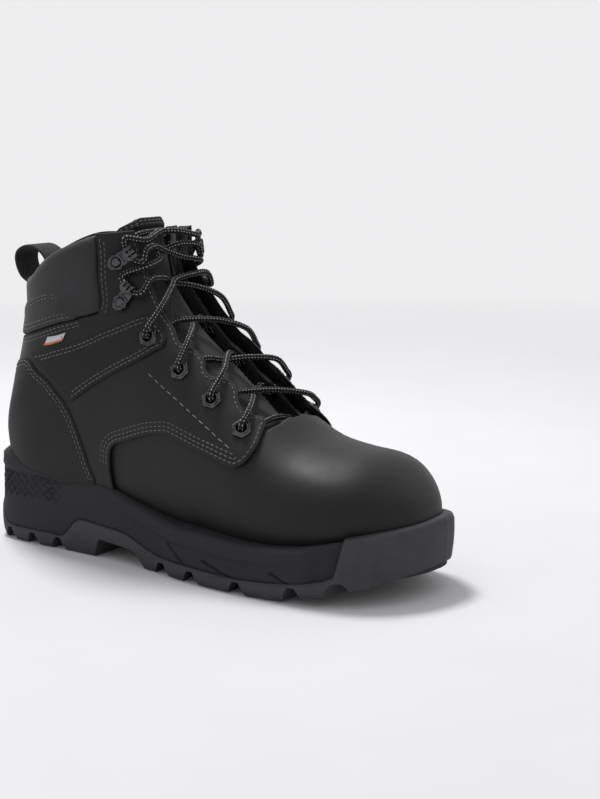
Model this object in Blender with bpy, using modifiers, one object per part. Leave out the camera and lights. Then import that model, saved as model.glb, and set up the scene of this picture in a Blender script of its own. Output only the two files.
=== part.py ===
"""Steel toe work boot for the right foot, lace-up, about ankle high.

Metres. +X runs to the toe, -Y to the outer (lateral) side and +Z up. The origin is on the floor,
under the middle of the boot. Every layer of the upper lies on one surface, the last, at its own depth.
"""
import math
from collections import namedtuple

import bmesh
import bpy
from mathutils import Matrix, Vector
from mathutils.geometry import delaunay_2d_cdt

MM = 0.001

# ---------------------------------------------------------------- driving dimensions
BOOT_LENGTH = 310 * MM
SOLE_WIDTH = 110 * MM
BOOT_HEIGHT = 208 * MM

# The pattern is drawn in these millimetres and graded to the three sizes above.
PATTERN_LENGTH = 310
PATTERN_WIDTH = 110
PATTERN_HEIGHT = 208

LEATHER = 2.0 * MM              # vamp and quarters
OVERLAY_LEATHER = 1.6 * MM      # strap, heel counter, Achilles panel
LINING = 1.5 * MM
LABEL = 0.8 * MM                # woven label, and the patch on the tongue
STIFFENER = 1.8 * MM            # behind the heel
TOE_CAP = 1.6 * MM
CAP_SETBACK = 0.4 * MM          # the steel cap stands this far inside the leather, past the layers' own gap
TONGUE_PADDING = 6.0 * MM
COLLAR_SKIN = 1.5 * MM
LAYER_GAP = 0.85 * MM           # between layers that lie on each other
SEAM_GAP = 2.0 * MM             # between panels that meet edge to edge
LACE_DIAMETER = 3.6 * MM
LACE_GAP = 0.5 * MM
EYELET_HOLE = 2.7 * MM          # radius
EYELET_WALL = 0.7 * MM
EYELET_FLANGE = 5.6 * MM        # radius
EYELET_PLATE = 0.9 * MM
RIVET_SHANK = 1.5 * MM          # radius
RIVET_HEAD = 3.6 * MM           # radius
RIVET_HEIGHT = 1.4 * MM
HOOK_PLATE = 1.0 * MM
HOOK_WIDTH = 8.0 * MM
HOOK_BACK = 5.6 * MM            # plate behind the rivet
HOOK_LIP = 7.0 * MM
HOLE_CLEARANCE = 0.5 * MM
WASHER_DEPTH = 1.1 * MM         # a flat washer stands this far inside the curved lining
PIECE_GAP = 0.4 * MM            # between stiff pieces that touch
BUMPER_WALL = 3.2 * MM
OUTSOLE_LIP = 2.0 * MM
LUG_DEPTH = 4.5 * MM
LUG_GROOVE = 5.0 * MM
INSOLE_BOARD = 2.2 * MM
FOOTBED = 4.5 * MM
SHANK_THICKNESS = 1.8 * MM
SHANK_WIDTH = 16 * MM
SHANK_GAP = 1.3 * MM             # under the shank, over the midsole's curved floor
TAB_WIDTH = 20 * MM
TAB_THICKNESS = 1.8 * MM
TAB_INSIDE = 2.8 * MM            # a flat tab stands this far inside the round lining
AGLET_LENGTH = 18 * MM

# ---------------------------------------------------------------- depths of the layers on the last
VAMP_OUT = 0.0
VAMP_IN = VAMP_OUT - LEATHER
STIFF_OUT = VAMP_IN - LAYER_GAP
STIFF_IN = STIFF_OUT - STIFFENER
LINING_OUT = STIFF_IN - LAYER_GAP
LINING_IN = LINING_OUT - LINING
QUARTER_IN = VAMP_OUT + LAYER_GAP
QUARTER_OUT = QUARTER_IN + LEATHER
OVERLAY_IN = QUARTER_OUT + LAYER_GAP
OVERLAY_OUT = OVERLAY_IN + OVERLAY_LEATHER
INNER_PLATE_IN = LINING_IN - WASHER_DEPTH - EYELET_PLATE
LACE_UNDER = INNER_PLATE_IN - LACE_GAP - LACE_DIAMETER / 2
TONGUE_OUT = LACE_UNDER - LACE_DIAMETER / 2 - 4 * LACE_GAP
TONGUE_IN = TONGUE_OUT - TONGUE_PADDING

LATERAL = 1
MEDIAL = -1
SIDES = {"lateral": LATERAL, "medial": MEDIAL}


def graded(x, y, z):
    """Pattern millimetres to metres at the boot's size."""
    return Vector((x * BOOT_LENGTH / PATTERN_LENGTH,
                   y * SOLE_WIDTH / PATTERN_WIDTH,
                   z * BOOT_HEIGHT / PATTERN_HEIGHT))


# ---------------------------------------------------------------- the last
# Each station is a slice of the last. low is its point at the sole or the heel, high its point
# on the ridge over the foot, as (x, z). outer and inner are half widths, centre the middle in y.
# A small fullness squares the slice off near that end.
Station = namedtuple("Station", "low high outer inner centre low_fullness high_fullness")
STATIONS = [
    Station((149, 20), (149, 66), 38, 37, 5, 0.45, 0.80),
    Station((125, 22), (125, 77), 46, 44, 4, 0.40, 0.85),
    Station((100, 19), (100, 80), 50, 46, 2, 0.38, 0.90),
    Station((75, 17), (77, 86), 49.5, 45.5, 0, 0.38, 0.92),
    Station((50, 16.5), (54, 101), 47.5, 43.5, -1, 0.38, 0.88),
    Station((28, 17), (34, 119), 45, 42, -1, 0.40, 0.84),
    Station((4, 19), (14, 137), 43, 40.5, -1, 0.43, 0.80),
    Station((-26, 23), (-4, 153), 41.5, 40, -1, 0.48, 0.78),
    Station((-60, 27), (-14, 166), 41, 39.5, 0, 0.54, 0.78),
    Station((-100, 29), (-19, 175), 40.5, 39, 0, 0.60, 0.78),
    Station((-135, 36), (-22, 182), 40, 39, 0, 0.66, 0.78),
    Station((-146, 62), (-24, 187), 39.5, 39, 0, 0.72, 0.78),
    Station((-140, 92), (-25, 192), 39.5, 39, 0, 0.78, 0.78),
    Station((-131, 122), (-26, 197), 40, 40, 0, 0.80, 0.78),
    Station((-126, 149), (-27, 202), 41, 41, 0, 0.82, 0.78),
    Station((-128, 175), (-28, 208), 42, 42, 0, 0.82, 0.78),
]
LAST_STATION = len(STATIONS) - 1
NOSE_STATIONS = 1.9             # the toe rounds off over these
NOSE_POWER = 2.3
FEATHER = 0.5                   # angle where the upper's panels end under the foot


def catmull(values, position):
    """Smooth value at a fractional position in a list of equal tuples."""
    position = min(max(position, 0.0), len(values) - 1.0)
    index = min(int(position), len(values) - 2)
    t = position - index

    def at(i):
        if i < 0:
            return [2 * a - b for a, b in zip(values[0], values[1])]
        if i >= len(values):
            return [2 * a - b for a, b in zip(values[-1], values[-2])]
        return values[i]

    p0, p1, p2, p3 = at(index - 1), at(index), at(index + 1), at(index + 2)
    return [0.5 * (2 * b + (c - a) * t + (2 * a - 5 * b + 4 * c - d) * t * t
                   + (3 * b - a - 3 * c + d) * t ** 3)
            for a, b, c, d in zip(p0, p1, p2, p3)]


FLAT_STATIONS = [(*s.low, *s.high, s.outer, s.inner, s.centre, s.low_fullness, s.high_fullness)
                 for s in STATIONS]


def last_slice(station):
    """Slice of the last, shrunk to a point as the station goes to 0 at the toe."""
    shrink = 1.0
    if station < NOSE_STATIONS:
        turn = max(station, 0.0) / NOSE_STATIONS * math.pi / 2
        station = NOSE_STATIONS * (1 - math.cos(turn) ** (2 / NOSE_POWER))
        shrink = math.sin(turn) ** (2 / NOSE_POWER)
    low_x, low_z, high_x, high_z, outer, inner, centre, low_full, high_full = catmull(
        FLAT_STATIONS, station)
    middle_x, middle_z = (low_x + high_x) / 2, (low_z + high_z) / 2
    low = (middle_x + (low_x - middle_x) * shrink, middle_z + (low_z - middle_z) * shrink)
    high = (middle_x + (high_x - middle_x) * shrink, middle_z + (high_z - middle_z) * shrink)
    return Station(low, high, outer * shrink, inner * shrink, centre, low_full, high_full)


def wrapped(angle):
    """Angle from -pi to pi: 0 at the sole or heel, pi on the ridge, positive on the outer side."""
    return (angle + math.pi) % (2 * math.pi) - math.pi


def last_point(station, angle):
    """Point of the last's surface."""
    slice_ = last_slice(station)
    angle = wrapped(angle)
    rise = (1 - math.cos(angle)) / 2
    fullness = slice_.low_fullness + (slice_.high_fullness - slice_.low_fullness) * rise
    reach = abs(math.sin(angle)) ** fullness
    half = slice_.outer if angle > 0 else slice_.inner
    x = slice_.low[0] + (slice_.high[0] - slice_.low[0]) * rise
    z = slice_.low[1] + (slice_.high[1] - slice_.low[1]) * rise
    return graded(x, slice_.centre - math.copysign(half * reach, angle), z)


def last_frame(station, angle):
    """Directions along the stations and round the slice, and the outward normal."""
    step = 0.002
    station = min(max(station, 2 * step), LAST_STATION - 2 * step)
    along = last_point(station + step, angle) - last_point(station - step, angle)
    around = last_point(station, angle + step) - last_point(station, angle - step)
    normal = around.cross(along)
    if station < 0.05 or normal.length < 1e-12:
        normal = Vector((1, 0, 0))
    return along / (2 * step), around / (2 * step), normal.normalized()


def on_last(station, angle, depth):
    """Point at a depth from the last's surface, positive outwards."""
    return last_point(station, angle) + last_frame(station, angle)[2] * depth


def side_place(x, z):
    """Station and angle of the outer side's point at x and z of the pattern."""
    def miss(station):
        slice_ = last_slice(station)
        rise_x, rise_z = slice_.high[0] - slice_.low[0], slice_.high[1] - slice_.low[1]
        return rise_x * (z - slice_.low[1]) - rise_z * (x - slice_.low[0])

    before, after = NOSE_STATIONS, LAST_STATION
    for _ in range(40):
        middle = (before + after) / 2
        if miss(before) * miss(middle) > 0:
            before = middle
        else:
            after = middle
    slice_ = last_slice(before)
    rise_x, rise_z = slice_.high[0] - slice_.low[0], slice_.high[1] - slice_.low[1]
    rise = ((x - slice_.low[0]) * rise_x + (z - slice_.low[1]) * rise_z) / (rise_x ** 2 + rise_z ** 2)
    return before, math.acos(max(-1.0, min(1.0, 1 - 2 * rise)))


def side_line(*points):
    """Stations and angles of a line drawn on the outer side."""
    return [side_place(x, z) for x, z in points]


# ---------------------------------------------------------------- charts: the last laid flat
STATION_PITCH = 13.0
ANGLE_PITCH = 42.0
TOE_PITCH = 18.0
TOE_STATIONS = 3.0              # beyond these the toe's chart is drawn closer
TOE_SQUEEZE = 0.55


class BandChart:
    """Stations along, angles across, centred on one angle: 0 for the heel, pi for the ridge."""

    def __init__(self, centre):
        self.centre = centre

    def flat(self, station, angle):
        return Vector((station * STATION_PITCH, wrapped(angle - self.centre) * ANGLE_PITCH))

    def place(self, point):
        return point[0] / STATION_PITCH, wrapped(point[1] / ANGLE_PITCH + self.centre)


class ToeChart:
    """A disc with the tip of the toe in its middle."""

    def flat(self, station, angle):
        reach = min(station, TOE_STATIONS) + max(station - TOE_STATIONS, 0) * TOE_SQUEEZE
        return Vector((math.cos(angle), math.sin(angle))) * reach * TOE_PITCH

    def place(self, point):
        reach = math.hypot(point[0], point[1]) / TOE_PITCH
        station = min(reach, TOE_STATIONS) + max(reach - TOE_STATIONS, 0) / TOE_SQUEEZE
        return station, math.atan2(point[1], point[0])


HEEL_CHART = BandChart(0.0)
RIDGE_CHART = BandChart(math.pi)
TOE_CHART = ToeChart()


def smooth_run(points, spacing):
    """Points about a spacing apart on a smooth curve through the given ones, without the last."""
    run = []
    values = [tuple(p) for p in points]
    for i in range(len(values) - 1):
        length = (Vector(values[i + 1]) - Vector(values[i])).length
        count = max(1, round(length / spacing))
        run += [Vector(catmull(values, i + j / count)) for j in range(count)]
    return run


def flat_outline(chart, runs, spacing):
    """Closed outline in a chart. Each run of places is smooth, and runs join at corners."""
    outline = []
    for i, run in enumerate(runs):
        points = [chart.flat(*place) for place in run]
        following = chart.flat(*runs[(i + 1) % len(runs)][0])
        if (following - points[-1]).length > 1e-6:
            points.append(following)
        outline += smooth_run(points, spacing)
    return outline


def mirrored_runs(runs):
    """A half outline on the outer side, from the centre line to the centre line, made whole."""
    other = [[(station, -angle) for station, angle in reversed(run)] for run in reversed(runs)]
    return runs + other


def inside(point, outline):
    crossings = 0
    for a, b in zip(outline, outline[1:] + outline[:1]):
        if (a[1] > point[1]) != (b[1] > point[1]):
            if point[0] < a[0] + (point[1] - a[1]) / (b[1] - a[1]) * (b[0] - a[0]):
                crossings += 1
    return crossings % 2 == 1


def clearance(point, outline):
    """Distance from a point to a closed outline."""
    best = 1e9
    for a, b in zip(outline, outline[1:] + outline[:1]):
        edge = b - a
        t = max(0.0, min(1.0, (point - a).dot(edge) / max(edge.length_squared, 1e-12)))
        best = min(best, (point - a - edge * t).length)
    return best


def hole_outline(chart, place, radius, depth, sides=10):
    """Outline in a chart of a hole that is round at a depth from the last."""
    step = 0.002
    station, angle = place
    along = (on_last(station + step, angle, depth) - on_last(station - step, angle, depth)) / (2 * step)
    around = (on_last(station, angle + step, depth) - on_last(station, angle - step, depth)) / (2 * step)
    normal = around.cross(along).normalized()
    across = normal.cross(along).normalized()
    ahead = along.normalized()
    outline = []
    for i in range(sides):
        turn = 2 * math.pi * i / sides
        wanted = (ahead * math.cos(turn) + across * math.sin(turn)) * radius
        aa, ab, bb = along.dot(along), along.dot(around), around.dot(around)
        wa, wb = wanted.dot(along), wanted.dot(around)
        scale = aa * bb - ab * ab
        shift = ((wa * bb - wb * ab) / scale, (wb * aa - wa * ab) / scale)
        outline.append(chart.flat(place[0] + shift[0], place[1] + shift[1]))
    return outline


def lattice(outline, holes, spacing):
    """Points inside an outline on staggered rows. Panels of one spacing share their rows."""
    points = []
    row_height = spacing * 0.87
    first_row = math.floor(min(p[1] for p in outline) / row_height)
    last_row = math.ceil(max(p[1] for p in outline) / row_height)
    first_column = math.floor(min(p[0] for p in outline) / spacing) - 1
    last_column = math.ceil(max(p[0] for p in outline) / spacing)
    for row in range(first_row, last_row + 1):
        for column in range(first_column, last_column + 1):
            point = Vector(((column + 0.5 * (row % 2)) * spacing, row * row_height))
            if not inside(point, outline) or clearance(point, outline) < 0.5 * spacing:
                continue
            if all(not inside(point, hole) and clearance(point, hole) > 0.5 * spacing for hole in holes):
                points.append(point)
    return points


PANEL_SPACING = 9.0


def panel_mesh(name, chart, runs, depth, holes=(), spacing=PANEL_SPACING):
    """Open surface on the last at one depth, inside an outline, with round holes."""
    outline = flat_outline(chart, runs, spacing)
    hole_outlines = [hole_outline(chart, place, radius, depth - LEATHER) for place, radius in holes]
    points = list(outline)
    edges = [(i, (i + 1) % len(outline)) for i in range(len(outline))]
    for hole in hole_outlines:
        start = len(points)
        points += hole
        edges += [(start + i, start + (i + 1) % len(hole)) for i in range(len(hole))]
    points += lattice(outline, hole_outlines, spacing)
    flat, _, triangles, _, _, _ = delaunay_2d_cdt(points, edges, [], 1, 1e-5)
    kept = []
    for triangle in triangles:
        middle = sum((flat[i] for i in triangle), Vector((0, 0))) / 3
        if inside(middle, outline) and not any(inside(middle, hole) for hole in hole_outlines):
            kept.append(triangle)
    mesh = bpy.data.meshes.new(name)
    places = [chart.place(point) for point in flat]
    mesh.from_pydata([on_last(*place, depth) for place in places], [], [tuple(t) for t in kept])
    first = mesh.polygons[0]
    if first.normal.dot(last_frame(*places[kept[0][0]])[2]) < 0:
        mesh.flip_normals()
    work = bmesh.new()
    work.from_mesh(mesh)
    loose = [v for v in work.verts if not v.link_faces]
    bmesh.ops.delete(work, geom=loose, context="VERTS")
    work.to_mesh(mesh)
    work.free()
    return mesh


# ---------------------------------------------------------------- scene, materials and objects
def new_collection(name):
    collection = bpy.data.collections.new(name)
    bpy.context.scene.collection.children.link(collection)
    return collection


def new_material(name, colour, roughness, metallic=0.0):
    material = bpy.data.materials.new(name)
    material.use_nodes = True
    shader = material.node_tree.nodes["Principled BSDF"]
    shader.inputs["Base Color"].default_value = (*colour, 1.0)
    shader.inputs["Roughness"].default_value = roughness
    shader.inputs["Metallic"].default_value = metallic
    material.diffuse_color = (*colour, 1.0)
    return material


for old in list(bpy.data.objects):
    bpy.data.objects.remove(old, do_unlink=True)

BOOT = new_collection("work_boot")
CUTTERS = new_collection("cutters")

BLACK_LEATHER = ("black_leather", (0.035, 0.035, 0.038), 0.55)
GREY_LEATHER = ("grey_leather", (0.055, 0.055, 0.058), 0.6)
DARK_FABRIC = ("dark_fabric", (0.02, 0.02, 0.022), 0.9)
FOAM = ("foam", (0.45, 0.45, 0.42), 0.9)
FOOTBED_FOAM = ("footbed_foam", (0.02, 0.02, 0.022), 0.9)
GREY_RUBBER = ("grey_rubber", (0.13, 0.13, 0.135), 0.75)
DARK_FOAM_SOLE = ("dark_midsole", (0.045, 0.045, 0.048), 0.7)
GUNMETAL = ("gunmetal", (0.25, 0.25, 0.26), 0.3, 1.0)
STEEL = ("steel", (0.55, 0.55, 0.57), 0.35, 1.0)
FIBRE_BOARD = ("fibre_board", (0.42, 0.33, 0.22), 0.85)
STIFF_PLASTIC = ("stiff_plastic", (0.5, 0.5, 0.48), 0.6)
LACE_CORD = ("lace_cord", (0.03, 0.03, 0.032), 0.85)
WEBBING = ("webbing", (0.02, 0.02, 0.021), 0.9)
LABEL_CLOTH = ("label_cloth", (0.6, 0.6, 0.6), 0.85)
CLEAR_PLASTIC = ("aglet_plastic", (0.05, 0.05, 0.05), 0.3)


def add_object(name, mesh, material, collection=BOOT):
    """New object of a mesh, with a material of its own."""
    thing = bpy.data.objects.new(name, mesh)
    collection.objects.link(thing)
    thing.data.materials.clear()
    thing.data.materials.append(new_material(name + "_" + material[0], *material[1:]))
    return thing


def solidify(thing, thickness, offset=1.0):
    modifier = thing.modifiers.new("thickness", "SOLIDIFY")
    modifier.thickness = thickness
    modifier.offset = offset


def cut(thing, cutter):
    cutter.hide_render = True
    cutter.display_type = "WIRE"
    modifier = thing.modifiers.new("cut_" + cutter.name, "BOOLEAN")
    modifier.operation = "DIFFERENCE"
    modifier.object = cutter


def add_panel(name, chart, runs, outer_depth, thickness, material, holes=(), spacing=PANEL_SPACING):
    """Closed panel: an outline on the last at its outer face's depth, thickened inwards."""
    mesh = panel_mesh(name, chart, runs, outer_depth, holes, spacing)
    thing = add_object(name, mesh, material)
    thing.data.shade_smooth()
    thing.data.set_sharp_from_angle(angle=math.radians(40))
    solidify(thing, thickness, offset=-1.0)
    return thing


def evaluated_mesh(thing):
    """The mesh of an object with its modifiers applied."""
    bpy.context.view_layer.update()
    return bpy.data.meshes.new_from_object(thing.evaluated_get(bpy.context.evaluated_depsgraph_get()))


# ---------------------------------------------------------------- lines of the pattern
# Each line is on the outer side, drawn in x and z of the pattern.
FACING_EDGE = side_line((59, 92), (44, 101), (34, 113), (18, 124.5), (0, 138), (-12, 149.6),
                        (-19, 159), (-26, 171), (-30, 182), (-33, 199))
QUARTER_FRONT_FOOT = side_line((-46, 44), (-45, 60), (-41, 72), (-27, 77.5), (-11, 82.5), (3, 84.5))
QUARTER_WING = side_line((3, 84.5), (25, 78), (47, 72), (53, 70.5))
QUARTER_NOSE = side_line((53, 70.5), (59, 74), (62, 82), (59, 92))
COLLAR_FRONT = side_line((-53, 197), (-53, 175), (-52, 158), (-53, 149.5))
BAND_LINE = side_line((-53, 149.5), (-67, 146), (-82, 142), (-100, 136), (-120, 131)) + [(13.12, 0.25)]
COLLAR_TOP_LINE = [(14.62, 0.0), (14.62, 0.45)] + side_line((-107, 171.5), (-95, 179.5), (-79, 187.5),
                                                           (-53, 197))
ACHILLES_EDGE = [(13.85, 0.0), (13.8, 0.4)] + side_line((-113, 152), (-97, 159), (-84, 163))
ACHILLES_FRONT = side_line((-84, 163), (-77, 159), (-73, 153), (-68, 148.8))
COUNTER_EDGE = [(12.6, 0.0), (12.55, 0.35)] + side_line((-111, 119), (-95, 110), (-83, 101),
                                                       (-74, 93), (-67, 82), (-64, 66), (-62, 48))
STRAP_TOP = side_line((-105, 122.5), (-82, 128), (-53, 137.6), (-39, 143), (-20, 149.5))
STRAP_BOTTOM = side_line((-6, 131.5), (-21, 123.5), (-51, 108.5), (-71.5, 96))
LABEL_CORNERS = side_line((-92, 128.5), (-89, 134), (-75, 137.5), (-77.5, 132.5))

EYELET_PLACES = side_line((-16, 137), (7, 120), (29.5, 105), (50.5, 90))
HOOK_PLACES = side_line((-43, 180.5), (-38, 156))
TOE_CAP_STATION = 2.3
CAP_EDGE_STATIONS = (2.37, 2.6)
VAMP_LINING_STATION = 3.2
THROAT_STATION = 3.6
COLLAR_SETBACK = 0.07           # angle between the facings' rear edges and the collar
TONGUE_STATIONS = (3.35, 14.9)
PATCH_STATION = 13.95
PATCH_MARGIN = 0.06
TONGUE_HALF_ANGLE = 0.9


def shifted(run, stations=0.0, angle=0.0):
    """A line moved along the stations or round the slices."""
    return [(s + stations, a + angle) for s, a in run]


def on_side(side, runs):
    """Runs drawn on the outer side, put on either side."""
    if side == LATERAL:
        return runs
    return [[(s, -a) for s, a in run] for run in runs]


def fastener_holes(side, radius, rivet_radius):
    holes = [((s, side * a), radius) for s, a in EYELET_PLACES]
    return holes + [((s, side * a), rivet_radius) for s, a in HOOK_PLACES]


EYELET_CUT = EYELET_HOLE + EYELET_WALL + HOLE_CLEARANCE
RIVET_CUT = RIVET_SHANK + HOLE_CLEARANCE


# ---------------------------------------------------------------- leather, lining and stiffeners
def foot_line(front, back):
    """The panels' lower edge, from one station back to another."""
    steps = max(2, round(abs(back - front)))
    return [(front + (back - front) * i / steps, FEATHER) for i in range(steps + 1)]


HEEL_FOOT = [(9.4, FEATHER), (10.0, 0.45), (10.3, 0.25)]
SEAM_ANGLE = 0.04


def make_vamp():
    """Toe leather: over the toe, with a wing running back under each quarter."""
    back_edge = [(THROAT_STATION, math.pi), (3.62, 2.95)]
    back_edge += side_line((61, 90), (58, 83.5), (49, 80.5), (40, 83), (22, 90), (2, 96), (-14, 94),
                           (-34, 87), (-52, 72), (-57, 46))
    half = [back_edge, foot_line(7.9, 1.2) + [(0.75, 0.3), (0.62, 0.0)]]
    add_panel("vamp", TOE_CHART, mirrored_runs(half), VAMP_OUT, LEATHER, BLACK_LEATHER)


def over_the_toe(station):
    """From the ridge down the lateral side to the foot line, across one station."""
    return [(station, math.pi), (station, 2.2), (station, 1.4), (station, FEATHER + 0.1)]


def make_toe_piece(name, back, depth, thickness, material):
    """A cap over the toe, from the tip back to one station."""
    half = [over_the_toe(back), foot_line(back, 1.2)[:-1] + [(0.9, 0.35), (0.75, 0.0)]]
    add_panel(name, TOE_CHART, mirrored_runs(half), depth, thickness, material)


def make_cap_edge_strip():
    """Plastic strip along the steel cap's rear edge."""
    front, back = CAP_EDGE_STATIONS
    front_half = list(reversed(over_the_toe(front)))
    medial_front, medial_back = on_side(MEDIAL, [over_the_toe(front), list(reversed(over_the_toe(back)))])
    runs = [over_the_toe(back), front_half + medial_front[1:], medial_back]
    add_panel("toe_cap_edge_strip", TOE_CHART, runs, STIFF_OUT, STIFFENER, STIFF_PLASTIC)


def make_toe_layers():
    make_toe_piece("steel_toe_cap", TOE_CAP_STATION, STIFF_OUT - CAP_SETBACK, TOE_CAP, STEEL)
    make_cap_edge_strip()
    make_toe_piece("vamp_lining", VAMP_LINING_STATION, LINING_OUT - CAP_SETBACK, LINING, DARK_FABRIC)


def make_quarter_lining():
    """Lining from the ball of the foot round the heel, up to the collar."""
    front = [(VAMP_LINING_STATION + 0.12, FEATHER + 0.1), (3.4, 1.2), (3.5, 2.0),
             (3.75, FACING_EDGE[0][1] - 0.04)]
    facing = shifted(FACING_EDGE, angle=-0.04)
    collar = list(reversed(COLLAR_TOP_LINE))
    half = [foot_line(9.4, VAMP_LINING_STATION + 0.12)[:-1], front[:-1], facing, collar]
    half = [list(reversed(run)) for run in reversed(half)]
    half.append([(9.4, FEATHER), (9.9, 0.42), (10.1, 0.25), (10.15, 0.0)])
    holes = fastener_holes(LATERAL, EYELET_CUT, RIVET_CUT) + fastener_holes(MEDIAL, EYELET_CUT, RIVET_CUT)
    add_panel("quarter_lining", HEEL_CHART, mirrored_runs(half), LINING_OUT, LINING, DARK_FABRIC, holes)


def make_quarters():
    for label, side in SIDES.items():
        back_seam = [(13.05, SEAM_ANGLE), (12, SEAM_ANGLE), (11.4, SEAM_ANGLE), (10.85, SEAM_ANGLE)]
        bottom = list(reversed(HEEL_FOOT)) + foot_line(9.0, 8.2)
        top_front = [FACING_EDGE[-1], COLLAR_FRONT[0]]
        runs = [QUARTER_FRONT_FOOT[:-1], QUARTER_WING, QUARTER_NOSE[:-1], FACING_EDGE, top_front[:-1],
                COLLAR_FRONT[:-1], BAND_LINE, back_seam, bottom]
        add_panel("quarter_" + label, HEEL_CHART, on_side(side, runs), QUARTER_OUT, LEATHER,
                  BLACK_LEATHER, fastener_holes(side, EYELET_CUT, RIVET_CUT))


def make_overlays():
    """Leather sewn on the quarters: ankle straps, heel counter and Achilles panel."""
    gap = SEAM_GAP / MM / STATION_PITCH
    for label, side in SIDES.items():
        back = side_line((-71.5, 96), (-82, 105.5), (-95, 114.5), (-105, 122.5))
        front = side_line((-20, 149.5), (-15.5, 146.5), (-6.5, 138), (-6, 131.5))
        runs = on_side(side, [STRAP_TOP[:-1], front[:-1], STRAP_BOTTOM[:-1], back[:-1]])
        place = EYELET_PLACES[0]
        add_panel("ankle_strap_" + label, HEEL_CHART, runs, OVERLAY_OUT, OVERLAY_LEATHER, BLACK_LEATHER,
                  [((place[0], side * place[1]), EYELET_CUT)])
    bottom = list(reversed(foot_line(9.0, 8.6))) + HEEL_FOOT + [(10.4, 0.0)]
    add_panel("heel_counter", HEEL_CHART, mirrored_runs([COUNTER_EDGE, bottom]), OVERLAY_OUT,
              OVERLAY_LEATHER, BLACK_LEATHER)
    lower = shifted(list(BAND_LINE[1:]), stations=1.8 * gap) + [(13.12 + 1.8 * gap, 0.0)]
    add_panel("achilles_panel", HEEL_CHART, mirrored_runs([ACHILLES_EDGE[:-1], ACHILLES_FRONT[:-1], lower]),
              OVERLAY_OUT, OVERLAY_LEATHER, GREY_LEATHER)
    label_runs = [LABEL_CORNERS[0:2], LABEL_CORNERS[1:3], LABEL_CORNERS[2:4], LABEL_CORNERS[3:]]
    add_panel("side_label", HEEL_CHART, label_runs, OVERLAY_IN + LABEL, LABEL, LABEL_CLOTH)


def make_heel_stiffener():
    edge = [(12.3, 0.0), (12.2, 0.5), (11.6, 1.0), (10.6, 1.3), (9.4, 1.35), (8.6, 1.2), (8.4, 0.8)]
    bottom = [(8.4, FEATHER + 0.05), (9.4, FEATHER + 0.03), (9.9, 0.45), (10.1, 0.28), (10.17, 0.0)]
    add_panel("heel_stiffener", HEEL_CHART, mirrored_runs([edge, bottom]), STIFF_OUT, STIFFENER,
              STIFF_PLASTIC)


def make_collar():
    """Padded collar behind the quarters' facings: a foam core and its cover."""
    gap = SEAM_GAP / MM / STATION_PITCH
    front = shifted(COLLAR_FRONT[:-1], angle=-COLLAR_SETBACK)
    lower = shifted(BAND_LINE, stations=gap) + [(13.12 + gap, 0.0)]
    first, second = lower[0], lower[1]
    share = COLLAR_SETBACK / (first[1] - second[1])
    lower[0] = (first[0] + share * (second[0] - first[0]), first[1] - COLLAR_SETBACK)
    runs = mirrored_runs([COLLAR_TOP_LINE[:-1], front, lower])
    foam = QUARTER_OUT - COLLAR_SKIN - LAYER_GAP - STIFF_IN
    add_panel("collar_foam", HEEL_CHART, runs, STIFF_IN + foam, foam, FOAM)
    add_panel("collar_cover", HEEL_CHART, runs, QUARTER_OUT, COLLAR_SKIN, GREY_LEATHER)


def make_tongue():
    """Padded tongue on the ridge, behind the lace, with a patch sewn on its top."""
    low, high = TONGUE_STATIONS
    edge = [(low, math.pi - 0.7), (5, math.pi - 0.78), (8, math.pi - 0.85),
            (11, math.pi - TONGUE_HALF_ANGLE), (14.5, math.pi - TONGUE_HALF_ANGLE)]
    top = [(14.5, math.pi - TONGUE_HALF_ANGLE), (14.62, math.pi - 0.75), (14.68, math.pi - 0.4),
           (high, math.pi - 0.25), (high, math.pi)]
    half = [[(low, math.pi), (low, math.pi - 0.4)], edge[:-1], top]
    tongue = add_panel("tongue", RIDGE_CHART, mirrored_runs(half), TONGUE_OUT, TONGUE_PADDING, DARK_FABRIC)
    patch_edge = math.pi - TONGUE_HALF_ANGLE + PATCH_MARGIN
    patch_top = [(14.45, patch_edge)] + [(s - PATCH_MARGIN, a) for s, a in top[1:]]
    half = [[(PATCH_STATION, math.pi)], [(PATCH_STATION, patch_edge)], patch_top]
    patch_depth = TONGUE_OUT + LAYER_GAP + LABEL
    patch = add_panel("tongue_patch", RIDGE_CHART, mirrored_runs(half), patch_depth, LABEL, GREY_LEATHER)
    return tongue, patch


def bottom_sheet(name, stations, half_angle, depth, columns=6):
    """Open surface on the last's underside between two stations."""
    front, back = stations
    inner_rows = [0.5 * i for i in range(math.floor(2 * front) + 1, math.ceil(2 * back))]
    rows = len(inner_rows) + 1
    points = []
    for row, station in enumerate([front] + inner_rows + [back]):
        narrow = 1.0
        if row == 0:
            narrow = 0.55
        if row == rows:
            narrow = 0.7
        fullness = last_slice(station).low_fullness
        widest = math.sin(half_angle) ** fullness * narrow
        for column in range(columns + 1):
            share = (2 * column / columns - 1) * widest
            angle = math.copysign(math.asin(abs(share) ** (1 / fullness)), share)
            points.append(on_last(station, angle, depth))
    faces = []
    for row in range(rows):
        for column in range(columns):
            a = row * (columns + 1) + column
            faces.append((a, a + 1, a + columns + 2, a + columns + 1))
    mesh = bpy.data.meshes.new(name)
    mesh.from_pydata(points, [], faces)
    if mesh.polygons[0].normal.z < 0:
        mesh.flip_normals()
    return mesh


BOARD_ANGLE = 0.36
BOARD_STATIONS = (1.25, 9.8)
FOOTBED_STATIONS = (1.6, 9.75)
SHANK_STATIONS = (6.7, 9.2)
FOOTBED_ANGLE = 0.35
BOARD_DEPTH = -0.3 * MM


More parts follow.
